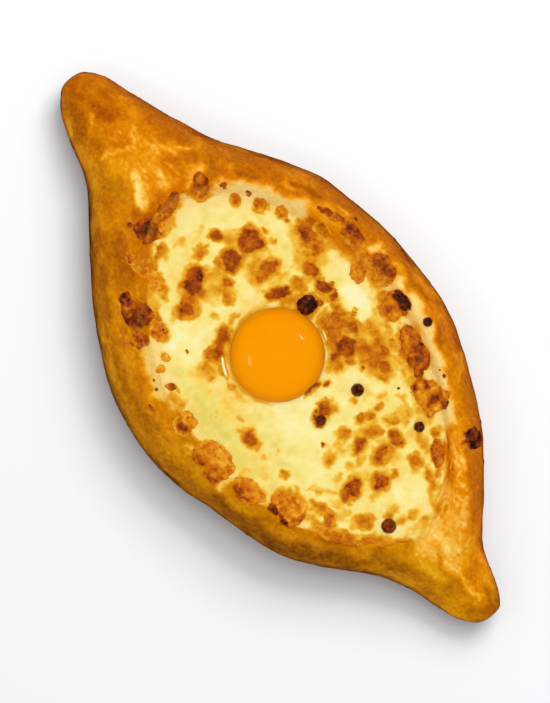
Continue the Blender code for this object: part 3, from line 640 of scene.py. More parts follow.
class Graph:
    """A node tree in the making, of a material or of a shape."""

    def __init__(self, tree: bpy.types.NodeTree) -> None:
        """Starts on an empty tree."""
        self.tree = tree
        tree.nodes.clear()

    def add(self, kind: str, inputs: dict | None = None, **settings: object) -> bpy.types.Node:
        """Adds a node.

        Args:
            kind: The node's type.
            inputs: For each input, by name or number, another node's output or a plain value.
            **settings: The node's own properties.

        Returns:
            The node.
        """
        node = self.tree.nodes.new(kind)
        for name, value in settings.items():
            setattr(node, name, value)
        for key, value in (inputs or {}).items():
            if isinstance(value, bpy.types.NodeSocket):
                self.tree.links.new(value, node.inputs[key])
            else:
                node.inputs[key].default_value = value
        return node

    def math(self, operation: str, first: object, second: object = 0.0,
             clamp: bool = False) -> bpy.types.NodeSocket:
        """Adds a sum of two numbers.

        Args:
            operation: What to do with them.
            first: A number or an output.
            second: A number or an output.
            clamp: Whether the result stays between 0 and 1.

        Returns:
            The result's output.
        """
        kind = "ShaderNodeMath"
        return self.add(kind, {0: first, 1: second}, operation=operation, use_clamp=clamp).outputs[0]

    def ramp(self, value: object, stops: tuple[tuple[float, Colour], ...]) -> bpy.types.NodeSocket:
        """Adds a scale of colours.

        Args:
            value: The number or output that picks the colour.
            stops: Each colour with the number where it stands.

        Returns:
            The colour's output.
        """
        node = self.add("ShaderNodeValToRGB", {"Fac": value})
        elements = node.color_ramp.elements
        elements.remove(elements[0])
        for number, (position, colour) in enumerate(stops):
            element = elements[0] if number == 0 else elements.new(position)
            element.position = position
            element.color = linear(colour)
        return node.outputs["Color"]

    def mix(self, share: object, first: object, second: object) -> bpy.types.NodeSocket:
        """Mixes two colours.

        Args:
            share: How much of the second one.
            first: A colour or an output.
            second: A colour or an output.

        Returns:
            The mixed colour's output.
        """
        return self.add("ShaderNodeMix", {0: share, 6: first, 7: second}, data_type="RGBA").outputs[2]

    def sockets(self, way: str, wanted: tuple[tuple[str, str, object], ...]) -> None:
        """Gives a node group its named inputs or outputs.

        Args:
            way: INPUT or OUTPUT.
            wanted: Each socket's name, type and default value, or None for no default.
        """
        for name, kind, default in wanted:
            socket = self.tree.interface.new_socket(name=name, in_out=way, socket_type=kind)
            if default is not None:
                socket.default_value = default


class SharedEffects:
    """Shader node groups that several finishes use, each built once."""

    def __init__(self) -> None:
        """Builds the groups."""
        self.mottle = self.build_mottle()
        self.grain = self.build_grain()

    @staticmethod
    def build_mottle() -> bpy.types.NodeTree:
        """Builds uneven baking: a number about 0 that wanders at two sizes.

        Returns:
            The node group.
        """
        tree = bpy.data.node_groups.new("uneven_baking", "ShaderNodeTree")
        graph = Graph(tree)
        number = "NodeSocketFloat"
        graph.sockets("INPUT", (
            ("Vector", "NodeSocketVector", None), ("Broad Scale", number, 120.0), ("Broad", number, 0.1),
            ("Fine Scale", number, 900.0), ("Fine", number, 0.05),
        ))
        graph.sockets("OUTPUT", (("Value", number, None),))
        given = graph.add("NodeGroupInput").outputs
        parts = []
        for scale, strength in (("Broad Scale", "Broad"), ("Fine Scale", "Fine")):
            noise = graph.add("ShaderNodeTexNoise", {"Vector": given["Vector"], "Scale": given[scale],
                                                     "Detail": 3.0})
            centred = graph.math("SUBTRACT", noise.outputs["Fac"], 0.5)
            parts.append(graph.math("MULTIPLY", graph.math("MULTIPLY", centred, 2.0), given[strength]))
        graph.add("NodeGroupOutput", {"Value": graph.math("ADD", *parts)})
        return tree

    @staticmethod
    def build_grain() -> bpy.types.NodeTree:
        """Builds a fine relief: small round grains with a finer roughness on them.

        Returns:
            The node group.
        """
        tree = bpy.data.node_groups.new("fine_grain", "ShaderNodeTree")
        graph = Graph(tree)
        number = "NodeSocketFloat"
        graph.sockets("INPUT", (("Vector", "NodeSocketVector", None), ("Scale", number, 1100.0),
                                ("Roundness", number, 0.6)))
        graph.sockets("OUTPUT", (("Height", number, None),))
        given = graph.add("NodeGroupInput").outputs
        cells = graph.add("ShaderNodeTexVoronoi", {"Vector": given["Vector"], "Scale": given["Scale"]},
                          feature="SMOOTH_F1")
        noise = graph.add("ShaderNodeTexNoise", {"Vector": given["Vector"], "Scale": given["Scale"],
                                                 "Detail": 4.0})
        near = graph.math("SUBTRACT", 1.0, cells.outputs["Distance"])
        round_part = graph.math("MULTIPLY", near, given["Roundness"])
        graph.add("NodeGroupOutput", {"Height": graph.math("ADD", round_part, noise.outputs["Fac"])})
        return tree


@dataclass(frozen=True)
class BakedFinish:
    """A finish whose colour follows how far each place has baked, as its mesh stores it."""

    name: str
    colours: tuple[tuple[float, Colour], ...]
    broad: float = 0.08
    fine: float = 0.06
    broad_scale: float = 130.0
    fine_scale: float = 900.0
    roughness: tuple[float, float] = (0.35, 0.5)
    specular: float = 0.35
    coat: float = 0.2
    coat_roughness: float = 0.18
    grain_scale: float = 1100.0
    relief: float = 0.25
    relief_depth: float = 0.08
    scatter: float = 0.0
    scatter_radius: Colour = (1.0, 0.55, 0.25)
    scatter_scale: float = 0.003

    def graph(self, effects: SharedEffects) -> tuple[bpy.types.Material, Graph, bpy.types.Node,
                                                     bpy.types.NodeSocket]:
        """Starts the material: its shader, its relief and how far each place has baked.

        Args:
            effects: The shared node groups.

        Returns:
            The material, its graph, its shader and the output for how far a place has baked.
        """
        material = bpy.data.materials.new(self.name)
        material.use_nodes = True
        graph = Graph(material.node_tree)
        place = graph.add("ShaderNodeTexCoord").outputs["Object"]
        baked = graph.add("ShaderNodeAttribute", attribute_name="bake").outputs["Fac"]
        mottle = graph.add("ShaderNodeGroup", {
            "Vector": place, "Broad": self.broad, "Fine": self.fine, "Broad Scale": self.broad_scale,
            "Fine Scale": self.fine_scale,
        }, node_tree=effects.mottle)
        done = graph.math("ADD", baked, mottle.outputs["Value"], clamp=True)
        grain = graph.add("ShaderNodeGroup", {"Vector": place, "Scale": self.grain_scale},
                          node_tree=effects.grain)
        bump = graph.add("ShaderNodeBump", {"Strength": self.relief, "Distance": self.relief_depth * MM,
                                            "Height": grain.outputs["Height"]})
        rough = graph.add("ShaderNodeMapRange", {"Value": done, "To Min": self.roughness[0],
                                                 "To Max": self.roughness[1]})
        shader = graph.add("ShaderNodeBsdfPrincipled", {
            "Roughness": rough.outputs["Result"], "Normal": bump.outputs["Normal"],
            "Specular IOR Level": self.specular, "Coat Weight": self.coat,
            "Coat Roughness": self.coat_roughness, "Subsurface Weight": self.scatter,
            "Subsurface Radius": self.scatter_radius, "Subsurface Scale": self.scatter_scale,
        })
        graph.add("ShaderNodeOutputMaterial", {"Surface": shader.outputs["BSDF"]})
        return material, graph, shader, done

    def material(self, effects: SharedEffects) -> bpy.types.Material:
        """Builds the material.

        Args:
            effects: The shared node groups.

        Returns:
            The material.
        """
        material, graph, shader, done = self.graph(effects)
        graph.tree.links.new(graph.ramp(done, self.colours), shader.inputs["Base Color"])
        return material


@dataclass(frozen=True)
class CheeseFinish(BakedFinish):
    """Melted cheese: its unbrowned parts wander between butter yellow and a cooler cream."""

    cool: Colour = (232, 208, 98)
    butter: Colour = (250, 228, 134)
    milk: Colour = (254, 240, 166)
    # white is reached only by the egg white's painted glints.
    white: Colour = (255, 253, 232)
    cream: Colour = (255, 218, 136)

    def material(self, effects: SharedEffects) -> bpy.types.Material:
        """Builds the material.

        Args:
            effects: The shared node groups.

        Returns:
            The material.
        """
        material, graph, shader, done = self.graph(effects)
        tone = graph.add("ShaderNodeAttribute", attribute_name="tone").outputs["Fac"]
        creamy = graph.add("ShaderNodeAttribute", attribute_name="cream").outputs["Fac"]
        milky = graph.ramp(tone, ((0.0, self.cool), (0.4, self.butter), (0.8, self.milk), (1.0, self.white)))
        plain = graph.mix(creamy, milky, linear(self.cream))
        browned = graph.ramp(done, self.colours)
        share = graph.add("ShaderNodeMapRange", {"Value": done, "From Min": 0.02, "From Max": 0.2})
        colour = graph.mix(share.outputs["Result"], plain, browned)
        graph.tree.links.new(colour, shader.inputs["Base Color"])
        return material


@dataclass(frozen=True)
class CrustFinish(BakedFinish):
    """Baked dough, whose browns lean from red to olive, the olive partly painted shade of the near side."""

    olives_and_shade: tuple[tuple[float, Colour], ...] = ()
    fleck_scale: float = 520.0
    fleck: float = 0.2

    def material(self, effects: SharedEffects) -> bpy.types.Material:
        """Builds the material.

        Args:
            effects: The shared node groups.

        Returns:
            The material.
        """
        material, graph, shader, done = self.graph(effects)
        place = graph.add("ShaderNodeTexCoord").outputs["Object"]
        tone = graph.add("ShaderNodeAttribute", attribute_name="tone").outputs["Fac"]
        stretched = graph.add("ShaderNodeMapping", {"Vector": place, "Scale": (0.5, 1.0, 1.0)})
        flecks = graph.add("ShaderNodeTexNoise", {"Vector": stretched.outputs["Vector"], "Detail": 4.0,
                                                  "Scale": self.fleck_scale, "Roughness": 0.65})
        share = graph.add("ShaderNodeMapRange", {"Value": flecks.outputs["Fac"], "From Min": 0.56,
                                                 "From Max": 0.72, "To Max": self.fleck})
        flecked = graph.math("SUBTRACT", done, share.outputs["Result"], clamp=True)
        colour = graph.mix(tone, graph.ramp(flecked, self.colours), graph.ramp(flecked, self.olives_and_shade))
        graph.tree.links.new(colour, shader.inputs["Base Color"])
        return material


@dataclass(frozen=True)
class YolkFinish:
    """Soft yolk: even orange, darker towards its edge as painted shade of its curving side, and wet."""

    # edge and rim are darker oranges: painted shade where the yolk curves away.
    middle: Colour = (255, 156, 0)
    edge: Colour = (242, 146, 0)
    rim: Colour = (232, 132, 0)

    def material(self) -> bpy.types.Material:
        """Builds the material.

        Returns:
            The material.
        """
        material = bpy.data.materials.new("yolk")
        material.use_nodes = True
        graph = Graph(material.node_tree)
        place = graph.add("ShaderNodeTexCoord").outputs["Object"]
        # The rim share darkens the yolk towards its edge: painted shade.
        rim = graph.add("ShaderNodeAttribute", attribute_name="rim").outputs["Fac"]
        cloud = graph.add("ShaderNodeTexNoise", {"Vector": place, "Scale": 160.0, "Detail": 2.0})
        centred = graph.math("SUBTRACT", cloud.outputs["Fac"], 0.5)
        share = graph.math("ADD", rim, graph.math("MULTIPLY", centred, 0.3), clamp=True)
        colour = graph.ramp(share, ((0.0, self.middle), (0.6, self.edge), (0.85, self.rim)))
        noise = graph.add("ShaderNodeTexNoise", {"Vector": place, "Scale": 420.0, "Detail": 3.0})
        skin = noise.outputs["Fac"]
        bump = graph.add("ShaderNodeBump", {"Strength": 0.12, "Distance": 0.1 * MM, "Height": skin})
        wet = graph.add("ShaderNodeBump", {"Strength": 0.35, "Distance": 0.12 * MM, "Height": skin})
        shader = graph.add("ShaderNodeBsdfPrincipled", {
            "Base Color": colour, "Roughness": 0.3, "Normal": bump.outputs["Normal"],
            "Specular IOR Level": 0.02, "Coat Weight": 0.4, "Coat Roughness": 0.03,
            "Coat Normal": wet.outputs["Normal"], "Subsurface Weight": 0.2,
            "Subsurface Radius": (1.0, 0.4, 0.05), "Subsurface Scale": 0.004,
        })
        graph.add("ShaderNodeOutputMaterial", {"Surface": shader.outputs["BSDF"]})
        return material


@dataclass(frozen=True)
class PlainFinish:
    """A plain even surface, for what the boat stands on."""

    name: str
    colour: Colour
    roughness: float = 0.9

    def material(self) -> bpy.types.Material:
        """Builds the material.

        Returns:
            The material.
        """
        material = bpy.data.materials.new(self.name)
        material.use_nodes = True
        shader = material.node_tree.nodes["Principled BSDF"]
        shader.inputs["Base Color"].default_value = linear(self.colour)
        shader.inputs["Roughness"].default_value = self.roughness
        shader.inputs["Specular IOR Level"].default_value = 0.0
        return material


CRUST = CrustFinish(
    name="crust",
    colours=((0.0, (255, 224, 142)), (0.2, (254, 194, 84)), (0.38, (240, 148, 4)), (0.52, (217, 121, 0)),
             (0.68, (186, 93, 0)), (0.84, (140, 60, 2)), (1.0, (78, 28, 6))),
    olives_and_shade=((0.0, (255, 226, 140)), (0.2, (252, 204, 82)), (0.38, (230, 156, 4)), (0.52, (206, 132, 0)),
            (0.68, (174, 104, 0)), (0.84, (132, 72, 2)), (1.0, (74, 36, 6))),
    broad=0.05, fine=0.13, fine_scale=750.0, roughness=(0.32, 0.38), specular=0.04, coat=0.06,
    coat_roughness=0.1, fleck=0.12, relief=0.45, relief_depth=0.12,
)
CHEESE = CheeseFinish(
    name="cheese",
    colours=((0.0, (253, 234, 141)), (0.14, (252, 212, 96)), (0.25, (240, 182, 50)), (0.36, (224, 148, 12)),
             (0.5, (206, 114, 0)), (0.68, (174, 78, 2)), (0.84, (136, 52, 6)), (1.0, (62, 22, 14))),
    broad=0.02, fine=0.04, fine_scale=1300.0, roughness=(0.32, 0.4), specular=0.1, coat=0.12,
    coat_roughness=0.08, grain_scale=900.0, scatter=0.1, scatter_scale=0.001,
)
EGG_WHITE = replace(CHEESE, name="egg_white", broad=0.01, fine=0.01, roughness=(0.2, 0.2), coat=0.5,
                    coat_roughness=0.03, relief=0.05)
BROWNED = BakedFinish(
    name="browned_cheese",
    colours=((0.0, (254, 208, 100)), (0.3, (240, 160, 18)), (0.5, (216, 120, 0)), (0.68, (178, 80, 2)),
             (0.84, (128, 48, 8)), (1.0, (50, 16, 10))),
    broad=0.1, fine=0.12, roughness=(0.35, 0.38), specular=0.1, coat=0.6, coat_roughness=0.1,
    grain_scale=1500.0, relief=0.5, relief_depth=0.1,
)


@dataclass(frozen=True)
class Patch:
    """An uneven oval on the top of the boat, in mm from the middle of the keel line."""

    doneness: Doneness
    x: float
    y: float
    length: float
    width: float
    turn: float = 0.0

    def inside(self, places: np.ndarray) -> np.ndarray:
        """How far inside the oval's edge places are, in mm, and below 0 outside it.

        Args:
            places: Places in mm, one row each.

        Returns:
            The depth of each place.
        """
        c, s = math.cos(math.radians(self.turn)), math.sin(math.radians(self.turn))
        dx, dy = places[:, 0] - self.x, places[:, 1] - self.y
        along = (c * dx + s * dy) / (self.length / 2)
        across = (c * dy - s * dx) / (self.width / 2)
        reach = np.hypot(along, across)
        slope = np.hypot(along / self.length, across / self.width) * 2
        return (1 - reach) * reach / np.maximum(slope, 1e-6)

    def touches(self, other: "Patch") -> bool:
        """Tells whether another oval meets this one."""
        line = np.linspace((self.x, self.y), (other.x, other.y), 24)
        return bool((np.maximum(self.inside(line), other.inside(line)) > 0.2).all())


def patches(table: dict[Doneness, tuple[tuple[float, ...], ...]]) -> list[Patch]:
    """Turns a table of places into patches, palest first."""
    return [Patch(doneness, *row) for doneness, rows in table.items() for row in rows]


@dataclass(frozen=True)
class Region:
    """A part of the boat with soft borders, in mm on the keel line and beside it, where something changes.

    Where it has a middle, its borders in X are measured both ways from there.
    """

    amount: float
    x: tuple[float, float] | None = None
    y: tuple[float, float] | None = None
    middle: float | None = None

    def at(self, x: np.ndarray, y: np.ndarray) -> np.ndarray:
        """How much of the change each place gets.

        Args:
            x: How far along the keel line the places are.
            y: How far beside the keel line the places are.

        Returns:
            The amount inside the region, which fades to 0 over its borders.
        """
        if self.middle is not None:
            x = np.abs(x - self.middle)
        total = np.full(len(x), self.amount)
        for value, limits in ((x, self.x), (y, self.y)):
            if limits:
                total *= share_between(value, *limits)
        return total


# How much further than elsewhere the smoothed loaf has to grow sideways, in mm.
GROWTH = (
    Region(0.8, x=(35, 75)),
    Region(0.3, y=(20, 45)),
    Region(-0.7, x=(-80, -92), y=(0, -8)),
    Region(-0.9, x=(22, 8), y=(0, -20), middle=42),
    Region(-0.4, x=(42, 20), y=(20, 30), middle=-55),
    Region(-0.7, x=(98, 112), y=(2, 6)),
    Region(1.0, x=(118, 130), middle=0),
)


class Boat:
    """Where things are on the boat, read from the frame."""

    def __init__(self) -> None:
        """Reads the keel line and the pool of cheese from the solids."""
        low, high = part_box("yolk")
        middle = (low + high) / 2
        self.yolk_middle = np.array(middle)
        self.yolk_radius = (high.x - low.x) / 2
        self.keel = np.array([middle.x, middle.y]) - np.array(YOLK_FROM_KEEL) * MM
        cheese = MeshWork.points(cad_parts["cheese"].data)
        self.cheese_top = float(np.median(cheese[cheese[:, 2] > cheese[:, 2].max() - 1.5 * MM, 2]))
        self.pool_middle = (cheese[:, :2].min(0) + cheese[:, :2].max(0)) / 2
        hull = cheese[convex_hull_2d(cheese[:, :2].tolist()), :2]
        after = np.roll(hull, -1, axis=0)
        steps = np.linspace(0, 1, 12, endpoint=False)[:, None, None]
        offset = (hull + (after - hull) * steps).reshape(-1, 2) - self.pool_middle
        angles = np.arctan2(offset[:, 1], offset[:, 0])
        order = np.argsort(angles)
        self.angles = angles[order]
        self.reaches = np.hypot(*offset.T)[order]

    def on_keel(self, points: np.ndarray) -> np.ndarray:
        """Turns points in metres into places in mm from the middle of the keel line."""
        return (points[:, :2] - self.keel) / MM

    def outside_pool(self, points: np.ndarray) -> np.ndarray:
        """How far points are outside the pool's edge.

        Args:
            points: Places in metres, one row each.

        Returns:
            The distance of each in mm, below 0 inside the pool.
        """
        offset = points[:, :2] - self.pool_middle
        angle = np.arctan2(offset[:, 1], offset[:, 0])
        edge = np.interp(angle, self.angles, self.reaches, period=2 * math.pi)
        return (np.hypot(*offset.T) - edge) / MM

    def from_lumps(self, points: np.ndarray, reach: float = 4.0) -> np.ndarray:
        """How far points are from the lumps on the rim, seen from above.

        Args:
            points: Places in metres, one row each.
            reach: The largest distance that matters, in mm.

        Returns:
            The distance of each in mm, and never more than the reach.
        """
        nearest = np.full(len(points), reach)
        for name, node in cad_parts.items():
            if not name.startswith("browned_curd"):
                continue
            outline = MeshWork.points(node.data)[:, :2]
            low, high = outline.min(0) - reach * MM, outline.max(0) + reach * MM
            near = np.flatnonzero(((points[:, :2] > low) & (points[:, :2] < high)).all(1))
            away = np.linalg.norm(points[near, None, :2] - outline[None], axis=2).min(1) / MM
            nearest[near] = np.minimum(nearest[near], np.maximum(away - 0.6, 0))
        return nearest

    def place(self, x: float, y: float) -> np.ndarray:
        """Turns a place in mm on the keel line into one in metres in the frame."""
        return self.keel + np.array([x, y]) * MM


class TopSurface:
    """The height of a finished piece, seen from above."""

    def __init__(self, piece: bpy.types.Object) -> None:
        """Makes a tree of the piece's faces.

        Args:
            piece: The finished piece.
        """
        mesh = piece.data
        self.tree = BVHTree.FromPolygons([v.co for v in mesh.vertices], [p.vertices for p in mesh.polygons])

    def height(self, xy: np.ndarray, missing: float = 0.0) -> np.ndarray:
        """Finds the highest point over each place.

        Args:
            xy: Places in metres, one row each.
            missing: The height where there is nothing.

        Returns:
            The heights in metres.
        """
        down = Vector((0, 0, -1))
        found = (self.tree.ray_cast(Vector((x, y, 0.1)), down)[0] for x, y in xy)
        return np.array([hit.z if hit else missing for hit in found])


@dataclass
class CrustBaking:
    """How far the crust has baked, with painted shade in places, and its hue: a field the cheese's edge follows
    too.
    """

    boat: Boat
    plain: float = 0.55
    slopes: float = 0.22
    near_side_shade: float = 0.14
    outline: float = 0.12
    tips: float = 0.07
    beside_pool: float = 0.16
    blotches: float = 0.11
    streaking: float = 0.09
    specks: float = 0.06
    flake_and_sparkle_paling: float = 0.15
    beside_lumps: float = 0.15
    crease_shading: float = 0.1
    side: float = 0.77
    base: float = 0.76
    drawn_out: tuple[float, float, float] = (0.45, 1.0, 1.0)
    wrinkle_step: float = 1.9  # mm

    def __post_init__(self) -> None:
        """Draws the uneven fields and sets out the patches."""
        self.streaks, self.blots = Noise(11), Noise(12)
        self.patches = patches(CRUST_SPOTS)
        self.flakes = patches({Doneness.LIGHT: CRUST_FLAKES_AND_SPARKLE})

    def at(self, points: np.ndarray, up: np.ndarray) -> np.ndarray:
        """How far places have baked, with painted shade and painted highlight added in places.

        Args:
            points: Places in metres, one row each.
            up: How much each place faces up, from -1 to 1.

        Returns:
            A number from 0, raw, to 1, charred, for each place.
        """
        places = self.boat.on_keel(points)
        outside = self.boat.outside_pool(points)
        drawn_out = points * self.drawn_out
        baked = np.full(len(points), self.plain)
        # The slopes on the near side darken further: painted shade, as the light falls from the far side.
        near = share_between(places[:, 1], 10, -30)
        baked += (self.slopes + self.near_side_shade * near) * share_between(up, 0.62, 0.1)
        baked += self.outline * share_between(up, 0.25, 0.0)
        baked += self.tips * share_between(np.abs(places[:, 0]), 119, 131)
        baked -= self.beside_pool * share_between(outside, 7, 0.5)
        baked += self.blotches * self.blots.at(points, 13 * MM, 3)
        baked += self.streaking * self.streaks.at(drawn_out, 4.0 * MM, 3)
        warped = places + 2.2 * self.warp(points, 9 * MM) + 0.9 * self.warp(points, 3 * MM)
        for patch in self.patches:
            soft = 1.2 + 0.12 * min(patch.length, patch.width)
            share = share_between(patch.inside(warped), -soft, 1.3 * soft) * share_between(up, 0.0, 0.4)
            hold = 0.95 if patch.doneness is Doneness.PALE else 0.8
            baked += (patch.doneness.value - baked) * share * hold
        # Fine paler flecks: partly crackled skin, partly painted highlight, a sparkle on glossy bumps.
        flakes_and_sparkle = np.zeros(len(points))
        for flakes in self.flakes:
            flakes_and_sparkle = np.maximum(flakes_and_sparkle, share_between(flakes.inside(warped), -2.0, 2.0))
        cracks = share_between(self.streaks.at(drawn_out + 0.3, 1.5 * MM, 2), 0.15, 0.6)
        baked -= self.flake_and_sparkle_paling * flakes_and_sparkle * cracks
        from_lumps = self.boat.from_lumps(points) + 0.8 * self.blots.at(points, 2.5 * MM, 2)
        baked += (0.5 - baked) * self.beside_lumps * share_between(from_lumps, 2.6, 0.2)
        baked += self.specks * self.streaks.at(points, 1.6 * MM, 2)
        # Paler on the ridges of the creases and darker in their folds: painted highlight and painted shade of
        # the wrinkles.
        baked -= self.crease_shading * self.wrinkles(points, outside)
        side = share_between(up, 0.3, -0.1)
        baked += (self.side + 0.1 * self.blots.at(points, 17 * MM, 4) - baked) * 0.9 * side
        under = share_between(points[:, 2], 2.5 * MM, 0.8 * MM)
        baked += (self.base + 0.14 * self.blots.at(points, 12 * MM, 4) - baked) * under
        return np.clip(baked, 0, 1)

    def wrinkles(self, points: np.ndarray, outside: np.ndarray) -> np.ndarray:
        """Where the crust is creased along the pool's edge, by the narrower nose.

        Args:
            points: Places in metres, one row each.
            outside: How far each is outside the pool's edge, in mm.

        Returns:
            The crease pattern, from -1 in a fold to 1 on a ridge, and 0 elsewhere.
        """
        x, y = self.boat.on_keel(points).T
        root = share_between(x, 56, 72) * share_between(x, 102, 90) * share_between(y, -4, 6)
        band = share_between(outside, -0.5, 1.5) * share_between(outside, 13, 8)
        phase = outside / self.wrinkle_step + 0.9 * self.streaks.at(points, 9 * MM, 2)
        uneven = share_between(self.blots.at(points, 4 * MM, 2), -0.5, 0.6)
        return root * band * uneven * np.cos(2 * math.pi * phase)

    def warp(self, points: np.ndarray, size: float) -> np.ndarray:
        """Gives each point an uneven push in X and Y, of a size in metres, from about -1 to 1."""
        return np.column_stack([self.streaks.at(points, size), self.blots.at(points, size)])

    def tone(self, points: np.ndarray, up: np.ndarray) -> np.ndarray:
        """How olive the brown of each place is: at random in blots, and towards the near side as painted shade.

        Args:
            points: Places in metres, one row each.
            up: How much each place faces up, from -1 to 1.

        Returns:
            A number from 0, red, to 1, olive, for each place.
        """
        x, y = self.boat.on_keel(points).T
        olive = share_between(y - 0.25 * np.maximum(x, 0), 0, -70)
        olive += 0.6 * share_between(np.abs(x), 66, 90) * share_between(y, 2, -10)
        olive = np.clip(olive + 0.35 * self.blots.at(points, 16 * MM, 3), 0, 1)
        return olive * (0.55 + 0.45 * share_between(up, -0.2, 0.15))


@dataclass
class Bread:
    """The boat of bread, with its rolled rim, noses, wrinkles and uneven baking."""

    boat: Boat
    baking: CrustBaking
    voxel: float = 0.65 * MM
    smoothing: int = 41
    kept_share: float = 0.5
    broad_swell: float = 0.4 * MM
    swell: float = 0.22 * MM
    ripple: float = 0.07 * MM
    wrinkle: float = 0.08 * MM
    crack: float = 0.12 * MM
    blister: float = 0.22 * MM
    nose_ridge: float = 0.45 * MM
    grown: float = 0.75 * MM
    slack: float = 1.2 * MM
    ease: tuple[float, float] = (3.2 * MM, 1.4 * MM)

    def build(self) -> bpy.types.Object:
        """Builds the bread.

        Returns:
            The piece, with how far each place has baked stored on it.
        """
        piece = MeshWork.merged_copy("bread_crust", [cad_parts["bread"]])
        MeshWork.remesh(piece, self.voxel)
        mesh = piece.data
        solid, edges = MeshWork.points(mesh), MeshWork.edges(mesh)
        points = MeshWork.relax(solid, edges, self.smoothing)
        for _ in range(2):
            points += MeshWork.relax(solid - points, edges, self.smoothing)
        MeshWork.move(mesh, points)
        normals = MeshWork.normals(mesh)
        points[:, :2] += normals[:, :2] * self.growth(points)[:, None]
        points += normals * self.relief(points)[:, None]
        MeshWork.move(mesh, self.inside_box(points))
        MeshWork.thin_out(piece, self.hidden(points), self.kept_share)
        self.bake(piece.data)
        return piece

    def growth(self, points: np.ndarray) -> np.ndarray:
        """How far the smoothed loaf has to grow sideways to stand where the solid does.

        Args:
            points: The smoothed vertices in metres.

        Returns:
            The growth in metres, which is 0 on the inside of the rim.
        """
        x, y = self.boat.on_keel(points).T
        growth = self.grown + MM * sum(region.at(x, y) for region in GROWTH)
        return growth * share_between(self.boat.outside_pool(points), 2.5, 8)

    def inside_box(self, points: np.ndarray) -> np.ndarray:
        """Rounds off what stands out of the frame's box, but for a little slack at its sides.

        Args:
            points: The vertices in metres.

        Returns:
            The vertices, drawn in more the further out they were.
        """
        low, high = (np.array(corner) for corner in CAD_BOX)
        points = np.clip(points, [-1, -1, low[2]], [1, 1, high[2]])
        for axis, ease in enumerate(self.ease):
            middle, reach = (low[axis] + high[axis]) / 2, (high[axis] - low[axis]) / 2 + self.slack - ease
            beyond = np.maximum(np.abs(points[:, axis] - middle) - reach, 0)
            points[:, axis] -= np.sign(points[:, axis] - middle) * (beyond - ease * np.tanh(beyond / ease))
        return points

    def hidden(self, points: np.ndarray) -> np.ndarray:
        """Which points are under the cheese or under the bread."""
        under_cheese = (self.boat.outside_pool(points) < -1) & (points[:, 2] < self.boat.cheese_top)
        return under_cheese | (points[:, 2] < 1.2 * MM)

    def relief(self, points: np.ndarray) -> np.ndarray:
        """How far each point of the crust stands out of the smooth loaf.

        Args:
            points: The vertices in metres.

        Returns:
            The relief in metres.
        """
        broad, fine = Noise(3), Noise(4)
        x, y = self.boat.on_keel(points).T
        outside = self.boat.outside_pool(points)
        relief = self.broad_swell * broad.at(points, 24 * MM)
        relief += self.swell * fine.at(points, 9 * MM)
        relief += self.ripple * broad.at(points, 2.6 * MM, 2)
        relief += self.wrinkle * self.baking.wrinkles(points, outside)
        flakes, second = fine.cells(points * np.array([0.55, 1.0, 1.0]), 3.2 * MM)
        cracked = share_between(x, -62, -78) * share_between(broad.at(points, 15 * MM), -0.2, 0.4)
        relief += self.crack * cracked * share_between(second - flakes, 0.16, 0.0)
        seeds, _ = broad.cells(points + 7.7, 7 * MM)
        relief += self.blister * share_between(seeds, 0.24, 0.05) * share_between(outside, 4, 10)
        ridge = share_between(x, 92, 104) * share_between(np.abs(y + 0.5), 4.5, 0.5)
        relief += self.nose_ridge * ridge
        return relief * share_between(points[:, 2], 0.6 * MM, 4 * MM)

    def bake(self, mesh: bpy.types.Mesh) -> None:
        """Stores how far each place of the crust has baked and how olive it is.

        Args:
            mesh: The finished mesh of the bread.
        """
        points, normals = MeshWork.points(mesh), MeshWork.normals(mesh)
        MeshWork.store(mesh, "bake", self.baking.at(points, normals[:, 2]))
        MeshWork.store(mesh, "tone", self.baking.tone(points, normals[:, 2]))


